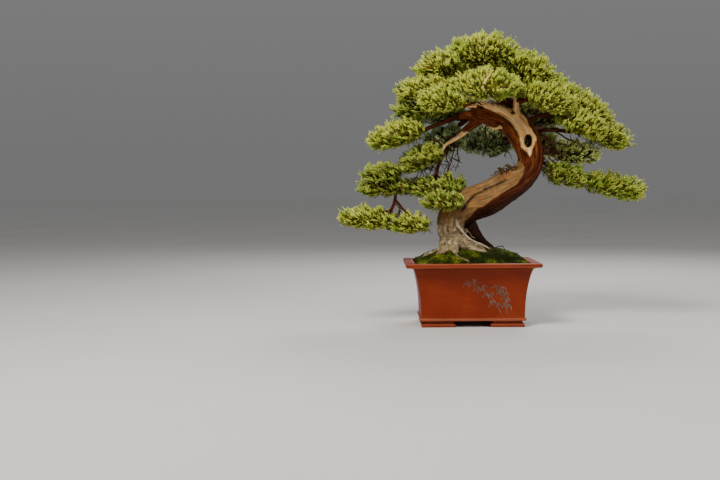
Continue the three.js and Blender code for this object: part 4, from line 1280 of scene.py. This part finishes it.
def build_pot():
    profile = np.array(OUTSIDE + INSIDE, float)
    quarter = np.repeat(np.arange(4), CORNER_STEPS)
    share = np.tile(np.linspace(0, 1, CORNER_STEPS), 4)
    angle = -(quarter + share) * np.pi / 2
    middle = -(quarter + 0.5) * np.pi / 2
    sign_x, sign_y = np.sign(np.cos(middle)), np.sign(np.sin(middle))
    corner = np.interp(profile[:, 0], [0, 60], CORNER_RADIUS)[:, None]
    x = sign_x * (POT_LENGTH / 2 - profile[:, :1] - corner) + corner * np.cos(angle)
    y = sign_y * (POT_DEPTH / 2 - profile[:, :1] - corner) + corner * np.sin(angle)
    z = np.repeat(profile[:, 1:], 4 * CORNER_STEPS, axis=1)
    ends = [[0, 0, profile[0, 1]], [0, 0, profile[-1, 1]]]
    points = np.vstack([np.stack([x, y, z], -1).reshape(-1, 3), ends])
    body = new_mesh("pot", placed(points), tube_faces(len(profile), 4 * CORNER_STEPS))
    cutters = []
    for x_drain in (-DRAIN_X, DRAIN_X):
        path = [[x_drain, 0, level, DRAIN_RADIUS] for level in (5, 25, 48)]
        cutters.append(tube_object("drain", path, 4, 32))
    mesh = modified(
        "pot_body",
        body,
        [("BOOLEAN", dict(operation="DIFFERENCE", object=cutter, solver="EXACT")) for cutter in cutters],
    )
    for cutter in cutters:
        bpy.data.objects.remove(cutter)
    feet = Shape()
    for sx in (1, -1):
        for sy in (1, -1):
            for size in FEET:
                corners, faces = foot_points(sx, sy, *size)
                feet.add(placed(corners), faces)
    feet_mesh = modified(
        "pot_feet",
        feet.mesh("feet", smooth=False),
        [("BEVEL", dict(width=0.0014, segments=3, limit_method="ANGLE", angle_limit=0.6))],
    )
    whole = Shape()
    for part in (mesh, feet_mesh):
        corners = points_of(part)
        faces = {}
        for polygon in part.polygons:
            faces.setdefault(len(polygon.vertices), []).append(list(polygon.vertices))
        local = (corners - MIDDLE) / MM
        inset_x = POT_LENGTH / 2 - np.abs(local[:, 0])
        inset_y = POT_DEPTH / 2 - np.abs(local[:, 1])
        near = np.minimum(inset_x, inset_y)
        height = local[:, 2]
        worn = np.zeros(len(corners))
        for inset, level, width in WORN_EDGES:
            gap = np.hypot(near - inset, height - level)
            worn = np.maximum(worn, np.exp(-((gap / width) ** 2)))
        worn = np.maximum(worn, 0.45 * np.exp(-(((height - WORN_FOOT) / 1.6) ** 2)) * (height < 11))
        whole.add(corners, [np.array(group) for group in faces.values()], worn=worn)
    mesh = whole.mesh("pot_body")
    mesh.set_sharp_from_angle(angle=math.radians(38))
    add_piece("pot_clay", mesh, CLAY, "clay", "pot")


def on_wall(x, z, lift):
    return np.stack([x, -(POT_DEPTH / 2 - wall_inset(z)) - lift, z], -1)


def build_bamboo():
    """A generic spray of bamboo on the front of the pot: two canes with leaves, in low relief."""
    random = np.random.default_rng(12)
    shape = Shape()

    def ribbon(x, z, half, lift):
        run = np.stack([np.gradient(x), np.gradient(z)], 1)
        run /= np.maximum(np.linalg.norm(run, axis=1, keepdims=True), 1e-9)
        rows = []
        for side, height in ((-1, 0.0), (-0.55, lift), (0.55, lift), (1, 0.0)):
            px = x - run[:, 1] * half * side
            pz = z + run[:, 0] * half * side
            rows.append(on_wall(px, pz, height - 0.05))
        back = on_wall(x, z, np.full(len(x), -0.6))
        points = np.stack([*rows, back], 1).reshape(-1, 3)
        count = len(x)
        faces = []
        for k in range(5):
            a, b = k, (k + 1) % 5
            i = np.arange(count - 1) * 5
            faces.append(np.stack([i + a, i + b, i + 5 + b, i + 5 + a], -1))
        ends = np.array([[4, 3, 2, 1, 0], [5 * count - 5 + k for k in range(5)]])
        shape.add(placed(points), [np.vstack(faces), ends])

    def leaf(x, z, angle, length, width):
        share = np.linspace(0, 1, 8)
        bow = 0.12 * length * np.sin(share * np.pi)
        lx = x + np.cos(angle) * share * length - np.sin(angle) * bow
        lz = z + np.sin(angle) * share * length + np.cos(angle) * bow
        half = width * np.sin(np.clip(share, 0.02, 0.98) * np.pi) ** 0.7 * (1.15 - 0.5 * share) + 0.12
        ribbon(lx, lz, half, 0.45)

    canes = (
        ((84, 36), (70, 84), (30, 120), (-24, 142), 1.3),
        ((100, 36), (98, 72), (92, 102), (76, 128), 1.0),
    )
    for *knots, half in canes:
        t = np.linspace(0, 1, 40)[:, None]
        shares = ((1 - t) ** 3, 3 * (1 - t) ** 2 * t, 3 * (1 - t) * t**2, t**3)
        line = sum(share * np.array(knot, float) for share, knot in zip(shares, knots))
        swell = 1 + 0.5 * np.exp(-((((t[:, 0] * 6) % 1) - 0.5) / 0.07) ** 2)
        ribbon(line[:, 0], line[:, 1], half * (1 - 0.45 * t[:, 0]) * swell, 0.55)
        for at in range(8, 40, 4):
            side = 1 if (at // 4) % 2 else -1
            step = line[at] - line[at - 1]
            heading = math.atan2(step[1], step[0]) + side * 0.7
            length = random.uniform(8, 20)
            twig_x = line[at, 0] + math.cos(heading) * np.linspace(0, length, 6)
            twig_z = line[at, 1] + math.sin(heading) * np.linspace(0, length, 6)
            ribbon(twig_x, twig_z, np.full(6, 0.4), 0.3)
            for fan in random.permutation([-2.5, -2.05, -1.6, -1.15, -0.7])[:3]:
                at_twig = random.integers(3, 6)
                droop = fan + random.uniform(-0.15, 0.15)
                size, width = random.uniform(13, 23), random.uniform(1.3, 2.0)
                leaf(twig_x[at_twig], twig_z[at_twig], droop, size, width)
    add_piece("pot_bamboo", shape.mesh("pot_bamboo"), GLAZE, "clay")


def dress_nodes():
    """Materials for the nodes that keep their solids' shape."""
    materials = {"soil": GRIT, "drain_screen_left": SCREEN, "drain_screen_right": SCREEN}
    for name, material in materials.items():
        node = frame["nodes"][name]
        for slot in node.material_slots:
            slot.material = material
        if not node.material_slots:
            node.data.materials.append(material)


# The stage.
HORIZON = (0.62, 0.62, 0.62)
SKY = (1.0, 1.0, 1.02)


def build_stage():
    size = 30.0
    corners = np.array([[-size, -size, 0], [size, -size, 0], [size, size, 0], [-size, size, 0]], float)
    paint = Paint("floor", 0.9)
    cloud = paint.noise(paint.place(), 1.2, 2.0)
    shade = paint.ramp(cloud, (0.3, (0.60, 0.59, 0.57)), (0.7, (0.64, 0.63, 0.61)))
    mesh = new_mesh("floor", corners, [np.array([[0, 1, 2, 3]])])
    new_object("floor", mesh, paint.done(shade))
    world = bpy.data.worlds.new("studio")
    world.use_nodes = True
    tree = world.node_tree
    rise = tree.nodes.new("ShaderNodeSeparateXYZ")
    sky = tree.nodes.new("ShaderNodeValToRGB")
    tree.links.new(tree.nodes.new("ShaderNodeTexCoord").outputs["Generated"], rise.inputs[0])
    tree.links.new(rise.outputs["Z"], sky.inputs["Fac"])
    tree.links.new(sky.outputs["Color"], tree.nodes["Background"].inputs["Color"])
    for element, position, colour in zip(sky.color_ramp.elements, (0.03, 0.6), (HORIZON, SKY)):
        element.position = position
        element.color = (*colour, 1)
    tree.nodes["Background"].inputs["Strength"].default_value = 0.28
    bpy.context.scene.world = world
    aim = Vector(placed((60, 0, 480)))
    lamps = (
        ("key", (-1200, -1950, 2600), 1.1, 118.0, (1.0, 0.96, 0.90)),
        ("fill", (1900, -1900, 1300), 1.6, 24.0, (0.95, 0.97, 1.0)),
        ("back", (700, 1900, 2300), 1.4, 50.0, (1.0, 0.98, 0.95)),
    )
    for name, place, size, power, colour in lamps:
        data = bpy.data.lights.new(name, "AREA")
        data.size = size
        data.energy = power
        data.color = colour
        lamp = bpy.data.objects.new(name, data)
        lamp.location = placed(place)
        lamp.rotation_euler = (aim - lamp.location).to_track_quat("-Z", "Y").to_euler()
        bpy.context.scene.collection.objects.link(lamp)


add_camera()
build_stage()
build_pot()
build_bamboo()
dress_nodes()
build_moss()
build_trunk()
build_tangle()
build_branches()
foliage_pads = read_pads()
build_foliage(foliage_pads)
build_twigs(foliage_pads)
